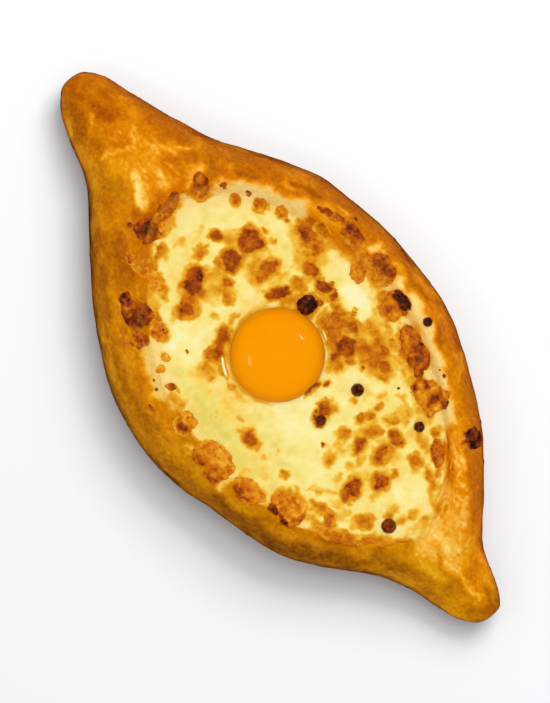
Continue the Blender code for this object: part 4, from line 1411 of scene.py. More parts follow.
@dataclass(frozen=True)
class Grid:
    """An even grid seen from above, from which closed sheets are made."""

    low: tuple[float, float]
    high: tuple[float, float]
    step: float

    @property
    def columns(self) -> int:
        """How many places make one column."""
        return len(np.arange(self.low[1], self.high[1], self.step))

    def places(self) -> np.ndarray:
        """Lays out the grid: places in metres, one row each, column after column."""
        xs, ys = (np.arange(low, high, self.step) for low, high in zip(self.low, self.high))
        return np.stack(np.meshgrid(xs, ys, indexing="ij"), -1).reshape(-1, 2)

    @staticmethod
    def grown(mask: np.ndarray, corners: bool = False) -> np.ndarray:
        """Grows a mask by one step.

        Args:
            mask: The mask, one row for each column of the grid.
            corners: Whether it grows over corners too.

        Returns:
            The larger mask.
        """
        larger = mask.copy()
        larger[1:] |= mask[:-1]
        larger[:-1] |= mask[1:]
        larger[:, 1:] |= mask[:, :-1]
        larger[:, :-1] |= mask[:, 1:]
        if corners:
            larger[1:, 1:] |= mask[:-1, :-1]
            larger[:-1, :-1] |= mask[1:, 1:]
            larger[1:, :-1] |= mask[:-1, 1:]
            larger[:-1, 1:] |= mask[1:, :-1]
        return larger

    def without_holes(self, kept: np.ndarray) -> np.ndarray:
        """Fills the holes of a mask.

        Args:
            kept: Which places of the grid are kept.

        Returns:
            The mask with everything kept that can't be reached from the grid's border.
        """
        kept = kept.reshape(-1, self.columns)
        open_air = np.zeros_like(kept)
        open_air[[0, -1]] = True
        open_air[:, [0, -1]] = True
        while True:
            larger = open_air | self.grown(open_air) & ~kept
            if larger.sum() == open_air.sum():
                return ~open_air.ravel()
            open_air = larger

    def from_edge(self, kept: np.ndarray, steps: int = 14) -> np.ndarray:
        """How far places are inside a mask's edge.

        Args:
            kept: Which places of the grid are kept.
            steps: How many grid steps to look.

        Returns:
            The distance in mm, up to what the steps reach.
        """
        outer = ~kept.reshape(-1, self.columns)
        total = np.zeros(outer.shape)
        for step in range(steps):
            total += ~outer
            outer = self.grown(outer, corners=step % 2 == 1)
        return total.ravel() * self.step / MM

    def closed_piece(self, name: str, points: np.ndarray, kept: np.ndarray, fields: dict[str, np.ndarray],
                     walls: tuple[tuple[float, float], ...]) -> bpy.types.Object:
        """Makes a sheet from the places that are kept, and closes it with a wall and a floor below.

        Args:
            name: The name of the piece.
            points: All places of the grid, with their heights.
            kept: Which of them the sheet holds.
            fields: Numbers to store for each place, by name.
            walls: Each ring of the wall: the share by which it draws in, and its height.

        Returns:
            The closed piece.
        """
        index = np.arange(len(points)).reshape(-1, self.columns)
        squares = np.stack([index[:-1, :-1], index[1:, :-1], index[1:, 1:], index[:-1, 1:]], -1)
        corners = squares.reshape(-1, 4)
        corners = corners[kept[corners].all(1)]
        used, faces = np.unique(corners, return_inverse=True)
        mesh = bpy.data.meshes.new(name)
        mesh.from_pydata(points[used].tolist(), [], faces.reshape(-1, 4).tolist())
        for field, values in fields.items():
            MeshWork.store(mesh, field, values[used])
        work = bmesh.new()
        work.from_mesh(mesh)
        self.keep_largest(work)
        middle = sum((vert.co for vert in work.verts), Vector()) / len(work.verts)
        for inward, height in walls:
            rim = [edge for edge in work.edges if edge.is_boundary]
            wall = bmesh.ops.extrude_edge_only(work, edges=rim)["geom"]
            for vert in (item for item in wall if isinstance(item, bmesh.types.BMVert)):
                vert.co.xy += (middle - vert.co).xy * inward
                vert.co.z = height
        floor = [edge for edge in work.edges if edge.is_boundary]
        bmesh.ops.triangle_fill(work, edges=floor, use_beauty=True)
        bmesh.ops.recalc_face_normals(work, faces=work.faces)
        work.to_mesh(mesh)
        work.free()
        return MeshWork.add(name, mesh)

    @staticmethod
    def keep_largest(work: bmesh.types.BMesh) -> None:
        """Removes faces that hang on by a corner or lie apart from the sheet.

        Args:
            work: The mesh to change.
        """
        while True:
            loose = [vert for vert in work.verts
                     if sum(edge.is_boundary for edge in vert.link_edges) > 2 or not vert.link_faces]
            if not loose:
                break
            bmesh.ops.delete(work, geom=loose, context="VERTS")
        seen, islands = set(), []
        for start in work.verts:
            if start in seen:
                continue
            island, queue = [], [start]
            seen.add(start)
            while queue:
                vert = queue.pop()
                island.append(vert)
                for edge in vert.link_edges:
                    other = edge.other_vert(vert)
                    if other not in seen:
                        seen.add(other)
                        queue.append(other)
            islands.append(island)
        islands.sort(key=len)
        for island in islands[:-1]:
            bmesh.ops.delete(work, geom=island, context="VERTS")


@dataclass
class Cheese:
    """The baked cheese: a soft sheet that fills the pool, creeps up the rim and browns in spots."""

    boat: Boat
    bread: TopSurface
    baking: CrustBaking
    step: float = 0.42 * MM
    margin: float = 14 * MM
    reach: float = 12.0  # mm outside the pool's edge, at most
    meniscus: float = 1.6 * MM
    film: float = 0.35 * MM
    base_height: float = 9.5 * MM
    edge_baking: float = 0.36
    tucked: float = 1.6 * MM
    taper: float = 0.2
    swell: float = 0.35 * MM
    ripple: float = 0.28 * MM
    dip: float = 0.5 * MM
    blister: float = 0.5 * MM
    grain: float = 0.22 * MM
    curd: float = 0.16 * MM

    def build(self) -> bpy.types.Object:
        """Builds the cheese.

        Returns:
            The piece, with how far each place has baked and its tone stored on it.
        """
        low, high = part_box("cheese")
        corners = (low.x - self.margin, low.y - self.margin), (high.x + self.margin, high.y + self.margin)
        grid = Grid(*corners, self.step)
        xy = grid.places()
        bread = self.bread.height(xy, missing=self.base_height)
        points = np.column_stack([xy, np.full(len(xy), self.boat.cheese_top)])
        outside = self.boat.outside_pool(points)
        creep = self.creep(points)
        kept = grid.without_holes((outside < self.reach) & ((bread < creep) | (outside < 0)))
        points[:, 2] = self.level(points, bread, creep)
        browning = self.browning(points)
        ragged = grid.from_edge(kept) + 1.4 * Noise(25).at(points, 5 * MM, 3)
        edge = share_between(ragged, 3.2, 0.3)
        crust = np.minimum(self.baking.at(points, np.full(len(points), 0.85)), self.edge_baking)
        browning = browning + np.maximum(crust - browning, 0) * edge
        points[:, 2] += self.relief(points, browning)
        fields = {"bake": browning, "tone": self.tone(points), "cream": self.cream(points)}
        walls = ((0.0, self.boat.cheese_top - self.tucked), (self.taper, self.base_height))
        return grid.closed_piece("baked_cheese", points, kept, fields, walls)

    def creep(self, points: np.ndarray) -> np.ndarray:
        """How high the cheese has run up the rim.

        Args:
            points: Places in metres, one row each.

        Returns:
            The height at each place, in metres.
        """
        uneven = Noise(21)
        places = self.boat.on_keel(points) + 1.5 * self.baking.warp(points, 5 * MM)
        height = self.boat.cheese_top + (1.0 + 1.1 * uneven.at(points, 8 * MM, 3)) * MM
        for patch in patches({Doneness.PALE: CRUST_SPOTS[Doneness.PALE]}):
            height += 1.0 * MM * share_between(patch.inside(places), -1.0, 1.5)
        return height

    def level(self, points: np.ndarray, bread: np.ndarray, creep: np.ndarray) -> np.ndarray:
        """The height of the smooth sheet, which turns up where it meets the rim.

        Args:
            points: The places of the sheet.
            bread: The height of the bread under each.
            creep: How high the cheese runs up there.

        Returns:
            The heights in metres.
        """
        swells = Noise(22)
        pool = self.boat.cheese_top + self.swell * swells.at(points, 26 * MM)
        pool += self.ripple * swells.at(points, 9 * MM, 2)
        pool -= self.dip * share_between(self.from_yolk(points), 6.5, 1.5)
        cover = bread + self.film * share_between(creep - bread, 0.0, 1.2 * MM) - 0.3 * MM
        cover += 0.18 * MM * share_between(creep - bread, 0.0, 1.5 * MM)
        gap = (pool - cover) / self.meniscus
        return np.maximum(pool, cover) + self.meniscus * 0.25 * np.exp(-np.abs(gap) * 2)

    def from_yolk(self, points: np.ndarray) -> np.ndarray:
        """How far points are outside the yolk, in mm."""
        away = np.linalg.norm(points[:, :2] - self.boat.yolk_middle[:2], axis=1)
        return (away - self.boat.yolk_radius) / MM

    def browning(self, points: np.ndarray) -> np.ndarray:
        """How far each place of the cheese has browned.

        Args:
            points: The places of the sheet.

        Returns:
            A number from 0 to 1 for each.
        """
        edge, fine = Noise(31), Noise(32)
        places = self.boat.on_keel(points)
        warped = places + 1.0 * self.baking.warp(points, 4 * MM) + 0.5 * self.baking.warp(points, 1.5 * MM)
        ragged = 0.8 * edge.at(points, 3.5 * MM, 2) + 0.2 * fine.at(points, 1.2 * MM)
        uneven = 1 + 0.24 * edge.at(points, 4.5 * MM, 3)
        baked = np.zeros(len(points))
        for patch in patches(CHEESE_SPOTS):
            value, size = patch.doneness.value, min(patch.length, patch.width)
            depth = patch.inside(warped) + ragged * min(1, 0.25 * size)
            if value < Doneness.ORANGE.value:
                tissue = share_between(depth, -0.8 - 0.2 * size, 0.6 + 0.25 * size)
                baked = np.maximum(baked, (value + 0.07) * (2.0 * uneven - 1.0) * tissue)
                continue
            core = share_between(depth, -0.7, 0.4 + 0.11 * size)
            halo = 0.38 * share_between(depth, -1.2 - 0.2 * size, 0.0)
            baked = np.maximum(baked, uneven * np.maximum(value * core, min(0.4, value) * halo / 0.4))
        from_lumps = self.boat.from_lumps(points) + 0.8 * edge.at(points, 2.5 * MM, 2)
        ring = share_between(from_lumps, 3.0, 0.0) * share_between(self.boat.outside_pool(points), 1.5, -2)
        baked = np.maximum(baked, 0.38 * ring * uneven)
        # A golden ring beside the yolk's lower-left edge, on the side away from the light: painted shadow of
        # the yolk.
        way = points[:, :2] - self.boat.yolk_middle[:2]
        near = share_between(self.from_yolk(points) + 0.7 * edge.at(points, 3 * MM), 2.8, 0.4)
        near *= share_between(way @ [-0.6, -0.8] / np.linalg.norm(way, axis=1).clip(MM), -0.1, 0.4)
        baked = np.maximum(baked, 0.32 * near)
        grain, _ = fine.cells(points, 1.15 * MM)
        grains = 0.15 * (0.45 - grain) + 0.1 * fine.at(points, 0.8 * MM, 2) + 0.08 * edge.at(points, 2.2 * MM)
        baked += grains * share_between(baked, 0.2, 0.55)
        for patch in patches({Doneness.PALE: CLEAN_CHEESE_AND_GLARE}):
            baked *= 1 - 0.95 * share_between(patch.inside(warped), -2, 2) * share_between(baked, 0.6, 0.4)
        dapple = share_between(edge.at(points, 5 * MM, 3), 0.05, 0.8)
        return np.clip(baked + 0.11 * dapple * share_between(baked, 0.3, 0.0), 0, 1)

    def relief(self, points: np.ndarray, browning: np.ndarray) -> np.ndarray:
        """How far browned places stand up, with grains on them, and how lumpy the plain cheese is.

        Args:
            points: Places in metres, one row each.
            browning: How far each place has baked.

        Returns:
            The rise of each place, in metres.
        """
        fine, lumpy = Noise(33), Noise(34)
        grain, _ = fine.cells(points, 1.2 * MM)
        browned = share_between(browning, 0.25, 0.75)
        rise = self.blister * browned + self.grain * browned * share_between(grain, 0.8, 0.1)
        curds, _ = lumpy.cells(points * np.array([1, 1, 0.3]), 3.1 * MM)
        plain = (1 - browned) * share_between(self.from_yolk(points), 0.4, 3.0)
        rise += self.curd * plain * share_between(curds, 0.85, 0.1)
        return rise + 0.05 * MM * plain * fine.at(points, 2.2 * MM, 2)

    def tone(self, points: np.ndarray) -> np.ndarray:
        """Where the cheese is cooler, butter yellow or milky.

        Args:
            points: Places in metres, one row each.

        Returns:
            A number from 0, cool, to 1, milky, for each place.
        """
        drift = Noise(41)
        x, y = self.boat.on_keel(points).T
        tone = 0.45 + 0.18 * drift.at(points, 18 * MM, 2) + 0.28 * drift.at(points, 5 * MM, 3)
        for amount, middle_x, middle_y, squash, start, whole in MILKINESS_AND_GLARE:
            tone += amount * share_between(np.hypot((x - middle_x) * squash, y - middle_y), start, whole)
        return np.clip(tone, 0, 0.85)

    def cream(self, points: np.ndarray) -> np.ndarray:
        """Where the cheese is as warm as pale dough, round the yolk and at the pool's edge.

        Args:
            points: Places in metres, one row each.

        Returns:
            How warm each place is, from 0 to 1.
        """
        drift = Noise(42)
        near = share_between(self.from_yolk(points) + 2.5 * drift.at(points, 7 * MM, 2), 8, 1)
        way = points[:, :2] - self.boat.yolk_middle[:2]
        near *= share_between(way @ [0.87, -0.5] / np.linalg.norm(way, axis=1).clip(MM), 0.95, 0.45)
        edge = share_between(self.boat.outside_pool(points) + 1.5 * drift.at(points, 5 * MM, 2), -3.5, 2)
        return np.clip(0.75 * near + 0.85 * edge, 0, 1)


@dataclass
class Yolk:
    """The whole yolk, half sunk in the cheese."""

    boat: Boat
    segments: int = 128
    rings: int = 64

    def build(self) -> bpy.types.Object:
        """Builds the yolk.

        Returns:
            The piece, with how near each place is to the rim stored on it.
        """
        low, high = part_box("yolk")
        size = (high - low) / 2
        work = bmesh.new()
        bmesh.ops.create_uvsphere(work, u_segments=self.segments, v_segments=self.rings, radius=1)
        mesh = bpy.data.meshes.new("egg_yolk")
        work.to_mesh(mesh)
        work.free()
        unit = MeshWork.points(mesh)
        uneven = Noise(51)
        plump = np.sign(unit[:, 2]) * np.abs(unit[:, 2]) ** 0.9
        points = np.column_stack([unit[:, 0] * size.x, unit[:, 1] * size.y, plump * size.z])
        points *= (1 + 0.008 * uneven.at(unit, 0.9))[:, None]
        MeshWork.move(mesh, points + self.boat.yolk_middle)
        # How near the rim each place is, which the finish darkens as painted shade.
        rim = np.hypot(unit[:, 0], unit[:, 1])
        MeshWork.store(mesh, "rim", 0.6 * share_between(rim, 0.8, 0.97) + 0.4 * share_between(rim, 0.97, 1.0))
        return MeshWork.add("egg_yolk", mesh)


@dataclass
class EggWhite:
    """The wet film of egg white round the yolk, which climbs its side, with painted glints on its raised lines.
    """

    boat: Boat
    cheese: Cheese
    under: TopSurface
    segments: int = 360
    rings: int = 26
    sunk_inside: float = 1.2 * MM
    climb: float = 1.1 * MM
    ridge: float = 0.35 * MM
    film: float = 0.14 * MM
    lip: float = 0.1 * MM
    ripple: float = 0.07 * MM
    thickness: float = 0.7 * MM

    def build(self) -> bpy.types.Object:
        """Builds the film.

        Returns:
            The piece, with the browning and tone of the cheese under it stored on it.
        """
        uneven = Noise(91)
        angle = np.linspace(0, 2 * math.pi, self.segments, endpoint=False)
        way = np.column_stack([np.cos(angle), np.sin(angle)])
        around = np.column_stack([way * 10 * MM, np.zeros(len(way))])
        longer = share_between((way @ [-0.5, -0.86]), 0.5, 1.0)
        reach = (3.2 + 1.5 * uneven.at(around, 7 * MM, 2) + 1.8 * longer) * MM
        share = np.linspace(0, 1, self.rings)[:, None]
        radius = self.boat.yolk_radius - self.sunk_inside + share * (reach + self.sunk_inside)
        xy = self.boat.yolk_middle[:2] + radius[..., None] * way
        flat = xy.reshape(-1, 2)
        height = self.under.height(flat)
        away = self.cheese.from_yolk(np.column_stack([flat, height]))
        edge = np.broadcast_to(share, radius.shape).ravel()
        height += self.film * share_between(edge, 1.0, 0.75) - self.lip * share_between(edge, 0.85, 1.0)
        height += self.climb * np.exp(-np.maximum(away, -0.4) / 0.7)
        ripples = uneven.at(np.column_stack([flat, height * 0]), 2.4 * MM, 2)
        height += self.ripple * ripples * share_between(edge, 1.0, 0.6)
        height += self.ridge * self.glint_ridges(np.column_stack([flat, height]))
        top = np.column_stack([flat, height])
        bottom = top - [0, 0, self.thickness]
        mesh = self.ring(np.concatenate([top, bottom[::-1]]))
        points = MeshWork.points(mesh)
        # white marks the painted glints; beside is a darker line just inside each, part of the same painted
        # reflection, and golden where the film runs onto the yolk.
        white = self.glint_ridges(points)
        beside = 0.4 * self.glint_ridges(points, 0.8)
        beside += 0.3 * share_between(self.cheese.from_yolk(points), 0.5, -0.2)
        baked = np.maximum(self.cheese.browning(points), beside) * (1 - white)
        MeshWork.store(mesh, "bake", baked)
        MeshWork.store(mesh, "tone", np.maximum(self.cheese.tone(points), white))
        MeshWork.store(mesh, "cream", self.cheese.cream(points) * (1 - white))
        return MeshWork.add("egg_white", mesh)

    def glint_ridges(self, points: np.ndarray, inwards: float = 0.0) -> np.ndarray:
        """Where the film stands up in raised lines, painted white as painted glints.

        Args:
            points: The places of the film.
            inwards: How far to look from each line towards the yolk, in mm.

        Returns:
            The share of a line at each place, from 0 to 1.
        """
        away = self.cheese.from_yolk(points) + inwards
        angle = np.degrees(np.arctan2(*(points[:, :2] - self.boat.yolk_middle[:2]).T[::-1])) % 360
        total = np.zeros(len(points))
        for reach, start, end, width in FILM_GLINT_RIDGES:
            along = share_between(angle, start - 2, start + 4) * share_between(angle, end + 2, end - 4)
            total = np.maximum(total, along * share_between(np.abs(away - reach), width, 0.2 * width))
        return total

    def ring(self, points: np.ndarray) -> bpy.types.Mesh:
        """Joins loops of points into a closed ring.

        Args:
            points: The points, loop after loop, over the top and back underneath.

        Returns:
            The closed ring.
        """
        loops = len(points) // self.segments
        grid = np.arange(len(points)).reshape(loops, self.segments)
        # The loops underneath are listed backwards, so each is turned to run the same way as those on top.
        grid[self.rings:] = grid[self.rings:, ::-1]
        after, beside = np.roll(grid, -1, axis=0), np.roll(grid, -1, axis=1)
        across = np.roll(after, -1, axis=1)
        faces = np.stack([grid, after, across, beside], -1).reshape(-1, 4)
        mesh = bpy.data.meshes.new("egg_white")
        mesh.from_pydata(points.tolist(), [], faces.tolist())
        return mesh


class GranuleTree:
    """Geometry nodes that scatter round granules where a surface has browned."""

    def __init__(self) -> None:
        """Builds the tree with named inputs."""
        self.tree = bpy.data.node_groups.new("browned_granules", "GeometryNodeTree")
        self.tree.is_modifier = True
        graph = Graph(self.tree)
        number = "NodeSocketFloat"
        graph.sockets("INPUT", (
            ("Geometry", "NodeSocketGeometry", None), ("Keep Surface", "NodeSocketBool", True),
            ("Density", number, 4e6), ("Spacing", number, 1.0 * MM), ("Smallest", number, 0.4 * MM),
            ("Largest", number, 0.9 * MM), ("Sunk", number, 0.3 * MM), ("From Baked", number, 0.0),
            ("Unevenness", number, 0.2), ("Seed", "NodeSocketInt", 1), ("Finish", "NodeSocketMaterial", None),
        ))
        graph.sockets("OUTPUT", (("Geometry", "NodeSocketGeometry", None),))
        given = graph.add("NodeGroupInput").outputs
        stored = graph.add("GeometryNodeInputNamedAttribute", {"Name": "bake"}, data_type="FLOAT")
        baked = stored.outputs["Attribute"]
        surely = graph.math("ADD", given["From Baked"], 0.2)
        chance = graph.add("ShaderNodeMapRange", {"Value": baked, "From Min": given["From Baked"],
                                                  "From Max": surely})
        normal = graph.add("GeometryNodeInputNormal").outputs["Normal"]
        facing = graph.add("ShaderNodeSeparateXYZ", {"Vector": normal}).outputs["Z"]
        upward = graph.add("ShaderNodeMapRange", {"Value": facing, "From Min": 0.05, "From Max": 0.3})
        factor = graph.math("MULTIPLY", chance.outputs["Result"], upward.outputs["Result"])
        spread = graph.add("GeometryNodeDistributePointsOnFaces", {
            "Mesh": given["Geometry"], "Distance Min": given["Spacing"], "Density Max": given["Density"],
            "Density Factor": factor, "Seed": given["Seed"],
        }, distribute_method="POISSON")
        depth = graph.math("MULTIPLY", given["Sunk"], -1.0)
        sunk = graph.add("ShaderNodeVectorMath", {0: spread.outputs["Normal"], "Scale": depth},
                         operation="SCALE")
        lowered = graph.add("GeometryNodeSetPosition", {"Geometry": spread.outputs["Points"],
                                                        "Offset": sunk.outputs["Vector"]})
        less = graph.math("MULTIPLY", given["Unevenness"], -1.0)
        shift = graph.add("FunctionNodeRandomValue", {2: less, 3: given["Unevenness"], "Seed": given["Seed"]},
                          data_type="FLOAT")
        own = graph.math("ADD", baked, shift.outputs[1], clamp=True)
        coloured = graph.add("GeometryNodeStoreNamedAttribute", {"Geometry": lowered.outputs["Geometry"],
                                                                 "Name": "bake", "Value": own},
                             data_type="FLOAT", domain="POINT")
        ball = graph.add("GeometryNodeMeshIcoSphere", {"Radius": 1.0, "Subdivisions": 2})
        larger = graph.math("ADD", given["Seed"], 1.0)
        size = graph.add("FunctionNodeRandomValue", {2: given["Smallest"], 3: given["Largest"],
                                                     "Seed": larger}, data_type="FLOAT")
        placed = graph.add("GeometryNodeInstanceOnPoints", {
            "Points": coloured.outputs["Geometry"], "Instance": ball.outputs["Mesh"],
            "Rotation": spread.outputs["Rotation"], "Scale": size.outputs[1],
        })
        real = graph.add("GeometryNodeRealizeInstances", {"Geometry": placed.outputs["Instances"]})
        surface = graph.add("GeometryNodeSwitch", {"Switch": given["Keep Surface"],
                                                   "True": given["Geometry"]}, input_type="GEOMETRY")
        joined = graph.add("GeometryNodeJoinGeometry")
        graph.tree.links.new(real.outputs["Geometry"], joined.inputs["Geometry"])
        graph.tree.links.new(surface.outputs["Output"], joined.inputs["Geometry"])
        dressed = graph.add("GeometryNodeSetMaterial", {"Geometry": joined.outputs["Geometry"],
                                                        "Material": given["Finish"]})
        graph.add("NodeGroupOutput", {"Geometry": dressed.outputs["Geometry"]})


def run_tree(piece: bpy.types.Object, tree: bpy.types.NodeTree, values: dict[str, object]) -> None:
    """Runs geometry nodes on a piece and keeps the result as its plain mesh.

    Args:
        piece: The piece to change.
        tree: The nodes.
        values: The tree's inputs, by name.
    """
    modifier = piece.modifiers.new(tree.name, "NODES")
    modifier.node_group = tree
    for item in tree.interface.items_tree:
        if item.item_type == "SOCKET" and item.in_out == "INPUT" and item.name in values:
            modifier[item.identifier] = values[item.name]
    MeshWork.settle(piece)


@dataclass
class CurdLumps:
    """The lumps of cheese that browned on the rim and beside it, and thin scraps of the same cheese."""

    boat: Boat
    surfaces: list[TopSurface]
    material: bpy.types.Material
    granules: GranuleTree
    step: float = 0.33 * MM
    sunk: float = 0.3 * MM
    buried: float = 1.6 * MM
    lowest: float = 12 * MM  # below this the side of the loaf is too steep to hold cheese
    scrap_height: float = 0.5  # mm
    spread: float = 0.8  # mm that a lump runs out on the side of the pool
    singed: float = 0.12

    def build(self) -> list[bpy.types.Object]:
        """Builds every lump, one piece for each solid.

        Returns:
            The pieces, with how far each place has baked stored on them.
        """
        pieces = []
        for seed, (number, (height, lobes)) in enumerate(CURDS.items()):
            piece = self.lump(f"granular_curd_{number}", patches(lobes), height, seed)
            self.granulate(piece, seed)
            pieces.append(piece)
        return pieces

    def scraps(self) -> bpy.types.Object:
        """Builds the thin scraps as one piece, with how far each place has baked stored on it.

        Returns:
            The piece, in the scene.
        """
        work = bmesh.new()
        for seed, group in enumerate(self.touching(patches(SCRAPS))):
            scrap = self.lump("scrap", group, self.scrap_height, seed + 40)
            work.from_mesh(scrap.data)
            bpy.data.objects.remove(scrap)
        mesh = bpy.data.meshes.new("browned_scraps")
        work.to_mesh(mesh)
        work.free()
        piece = MeshWork.add("browned_scraps", mesh)
        self.granulate(piece, 99)
        return piece

    @staticmethod
    def touching(lobes: list[Patch]) -> list[list[Patch]]:
        """Sorts lobes into groups that touch, each with its palest lobe first.

        Args:
            lobes: The lobes to sort, palest first.

        Returns:
            The groups.
        """
        groups: list[list[Patch]] = []
        for lobe in lobes:
            near = [group for group in groups if any(lobe.touches(other) for other in group)]
            groups = [g for g in groups if g not in near] + [sum(near, []) + [lobe]]
        return groups

    def lump(self, name: str, lobes: list[Patch], height: float, seed: int) -> bpy.types.Object:
        """Builds one lump that lies on what is under it.

        Args:
            name: What the piece is called.
            lobes: Its lobes, palest first.
            height: How high it stands, in mm.
            seed: Picks how uneven it is.

        Returns:
            The piece.
        """
        uneven = Noise(80 + seed)
        middles = np.array([(lobe.x, lobe.y) for lobe in lobes])
        reach = max(lobe.length for lobe in lobes) / 2 + 3
        low, high = self.boat.place(*(middles.min(0) - reach)), self.boat.place(*(middles.max(0) + reach))
        grid = Grid(tuple(low), tuple(high), self.step)
        xy = grid.places()
        under = np.max([surface.height(xy) for surface in self.surfaces], axis=0)
        points = np.column_stack([xy, under])
        push = np.column_stack([uneven.at(points, 3 * MM, 2), uneven.at(points + 0.1, 3 * MM, 2)])
        places = self.boat.on_keel(points) + 0.7 * push
        rise = inside = np.full(len(points), -1.0)
        baked = np.full(len(points), lobes[0].doneness.value)
        outwards = self.boat.outside_pool(points)
        melted = share_between(outwards - outwards[rise.size // 2], 1.5, -1.5)
        if height <= self.scrap_height:
            melted = np.maximum(melted, 0.7)
        for lobe in lobes:
            size = min(lobe.length, lobe.width)
            depth = lobe.inside(places)
            if lobe.doneness.value <= Doneness.ORANGE.value:
                depth += self.spread * melted
            inside = np.maximum(inside, depth)
            part = np.clip(depth / (0.42 * size), 0, 1)
            bulge = np.sqrt(1 - (1 - part) ** 2)
            dome = (bulge + 0.8 * melted * (part - bulge)) * min(1, 0.4 + 0.12 * size)
            rise = np.maximum(rise, np.where(depth > 0, dome, depth))
            share = share_between(depth + 0.6 * uneven.at(points, 2 * MM, 2), -0.7, 0.9)
            baked += (lobe.doneness.value - baked) * share
        edge = share_between(inside + 0.5 * uneven.at(points, 1.6 * MM, 2), 1.8, 0.1)
        soft = 0.85 * edge * melted * share_between(baked, 0.66, 0.5)
        baked += self.singed * edge * (1 - melted) + (0.36 - baked) * soft
        grain, _ = uneven.cells(points, 1.25 * MM)
        swell = 0.8 + 0.3 * uneven.at(points, 2.6 * MM, 2)
        points[:, 2] += height * MM * np.maximum(rise, 0) * swell - self.sunk * share_between(rise, 0.3, 0.0)
        points[:, 2] += 0.3 * MM * share_between(rise, 0, 0.5) * share_between(grain, 0.75, 0.15)
        baked += 0.22 * (0.5 - grain) + 0.2 * uneven.at(points, 3 * MM, 2)
        kept = grid.without_holes((rise > -0.25) & (under > self.lowest))
        ground = under[kept].min() - self.buried
        walls = ((0.0, ground + 0.5 * self.buried), (0.15, ground))
        return grid.closed_piece(name, points, kept, {"bake": np.clip(baked, 0, 1)}, walls)

    def granulate(self, piece: bpy.types.Object, seed: int) -> None:
        """Strews small granules over a lump and keeps it inside the frame's box.

        Args:
            piece: The lump.
            seed: Picks where the granules lie.
        """
        run_tree(piece, self.granules.tree, {
            "Density": 1.0e6, "Spacing": 0.85 * MM, "Smallest": 0.2 * MM, "Largest": 0.5 * MM,
            "Sunk": 0.24 * MM, "Unevenness": 0.14, "Seed": seed + 5, "Finish": self.material,
        })
        low, high = (np.array(corner) for corner in CAD_BOX)
        MeshWork.move(piece.data, np.clip(MeshWork.points(piece.data), low, high))


@dataclass
class BrownedGranules:
    """Small granules of cheese that stand up where the sheet has browned."""

    cheese: bpy.types.Object
    material: bpy.types.Material
    granules: GranuleTree

    def build(self) -> bpy.types.Object:
        """Builds all granules as one piece.

        Returns:
            The piece, with how far each place has baked stored on it.
        """
        piece = MeshWork.add("browned_granules", self.cheese.data.copy())
        run_tree(piece, self.granules.tree, {
            "Keep Surface": False, "Density": 1.0e6, "Spacing": 0.8 * MM, "Smallest": 0.2 * MM,
            "Largest": 0.48 * MM, "Sunk": 0.22 * MM, "From Baked": 0.5, "Unevenness": 0.14, "Seed": 3,
            "Finish": self.material,
        })
        return piece


class BeadTree:
    """Geometry nodes that put a slightly flattened bead on each point of a mesh."""

    def __init__(self) -> None:
        """Builds the tree with named inputs."""
        self.tree = bpy.data.node_groups.new("beads_on_points", "GeometryNodeTree")
        self.tree.is_modifier = True
        graph = Graph(self.tree)
        graph.sockets("INPUT", (
            ("Geometry", "NodeSocketGeometry", None), ("Flatness", "NodeSocketFloat", 0.85),
            ("Detail", "NodeSocketInt", 4), ("Finish", "NodeSocketMaterial", None),
        ))
        graph.sockets("OUTPUT", (("Geometry", "NodeSocketGeometry", None),))
        given = graph.add("NodeGroupInput").outputs
        radius = graph.add("GeometryNodeInputNamedAttribute", {"Name": "bead_radius"}, data_type="FLOAT")
        ball = graph.add("GeometryNodeMeshIcoSphere", {"Radius": 1.0, "Subdivisions": given["Detail"]})
        flat = graph.add("ShaderNodeCombineXYZ", {"X": 1.0, "Y": 1.0, "Z": given["Flatness"]})
        scale = graph.add("ShaderNodeVectorMath", {0: flat.outputs["Vector"],
                                                   "Scale": radius.outputs["Attribute"]}, operation="SCALE")
        placed = graph.add("GeometryNodeInstanceOnPoints", {
            "Points": given["Geometry"], "Instance": ball.outputs["Mesh"], "Scale": scale.outputs["Vector"],
        })
        real = graph.add("GeometryNodeRealizeInstances", {"Geometry": placed.outputs["Instances"]})
        dressed = graph.add("GeometryNodeSetMaterial", {"Geometry": real.outputs["Geometry"],
                                                        "Material": given["Finish"]})
        graph.add("NodeGroupOutput", {"Geometry": dressed.outputs["Geometry"]})


@dataclass
class CharredBeads:
    """Small bubbles of cheese that swelled up and charred."""

    boat: Boat
    surfaces: list[TopSurface]
    material: bpy.types.Material
    knob: float = 0.22 * MM
    smallest_baked: float = 0.78

    def build(self) -> bpy.types.Object:
        """Builds all beads as one piece.

        Returns:
            The piece, with how far each place has baked stored on it.
        """
        xy = np.array([self.boat.place(x, y) for x, y, _ in CHARRED_BEADS])
        radius = np.array([r for _, _, r in CHARRED_BEADS]) * MM
        height = np.max([surface.height(xy) for surface in self.surfaces], axis=0)
        mesh = bpy.data.meshes.new("charred_beads")
        points = np.column_stack([xy, height + 0.1 * radius])
        mesh.from_pydata(points.tolist(), [], [])
        MeshWork.store(mesh, "bead_radius", radius)
        piece = MeshWork.add("charred_beads", mesh)
        run_tree(piece, BeadTree().tree, {"Finish": self.material})
        points = MeshWork.points(piece.data)
        knobbly = Noise(71)
        lumps, _ = knobbly.cells(points, 1.1 * MM)
        push = self.knob * share_between(lumps, 0.8, 0.1) - 0.12 * MM
        MeshWork.move(piece.data, points + MeshWork.normals(piece.data) * push[:, None])
        size = np.repeat(radius, len(points) // len(radius))
        baked = self.smallest_baked + 0.17 * share_between(size, 0.9 * MM, 1.6 * MM)
        baked -= 0.08 * share_between(size, 2.7 * MM, 2.9 * MM)
        baked += 0.14 * knobbly.at(points, 1.4 * MM, 2)
        MeshWork.store(piece.data, "bake", baked)
        return piece


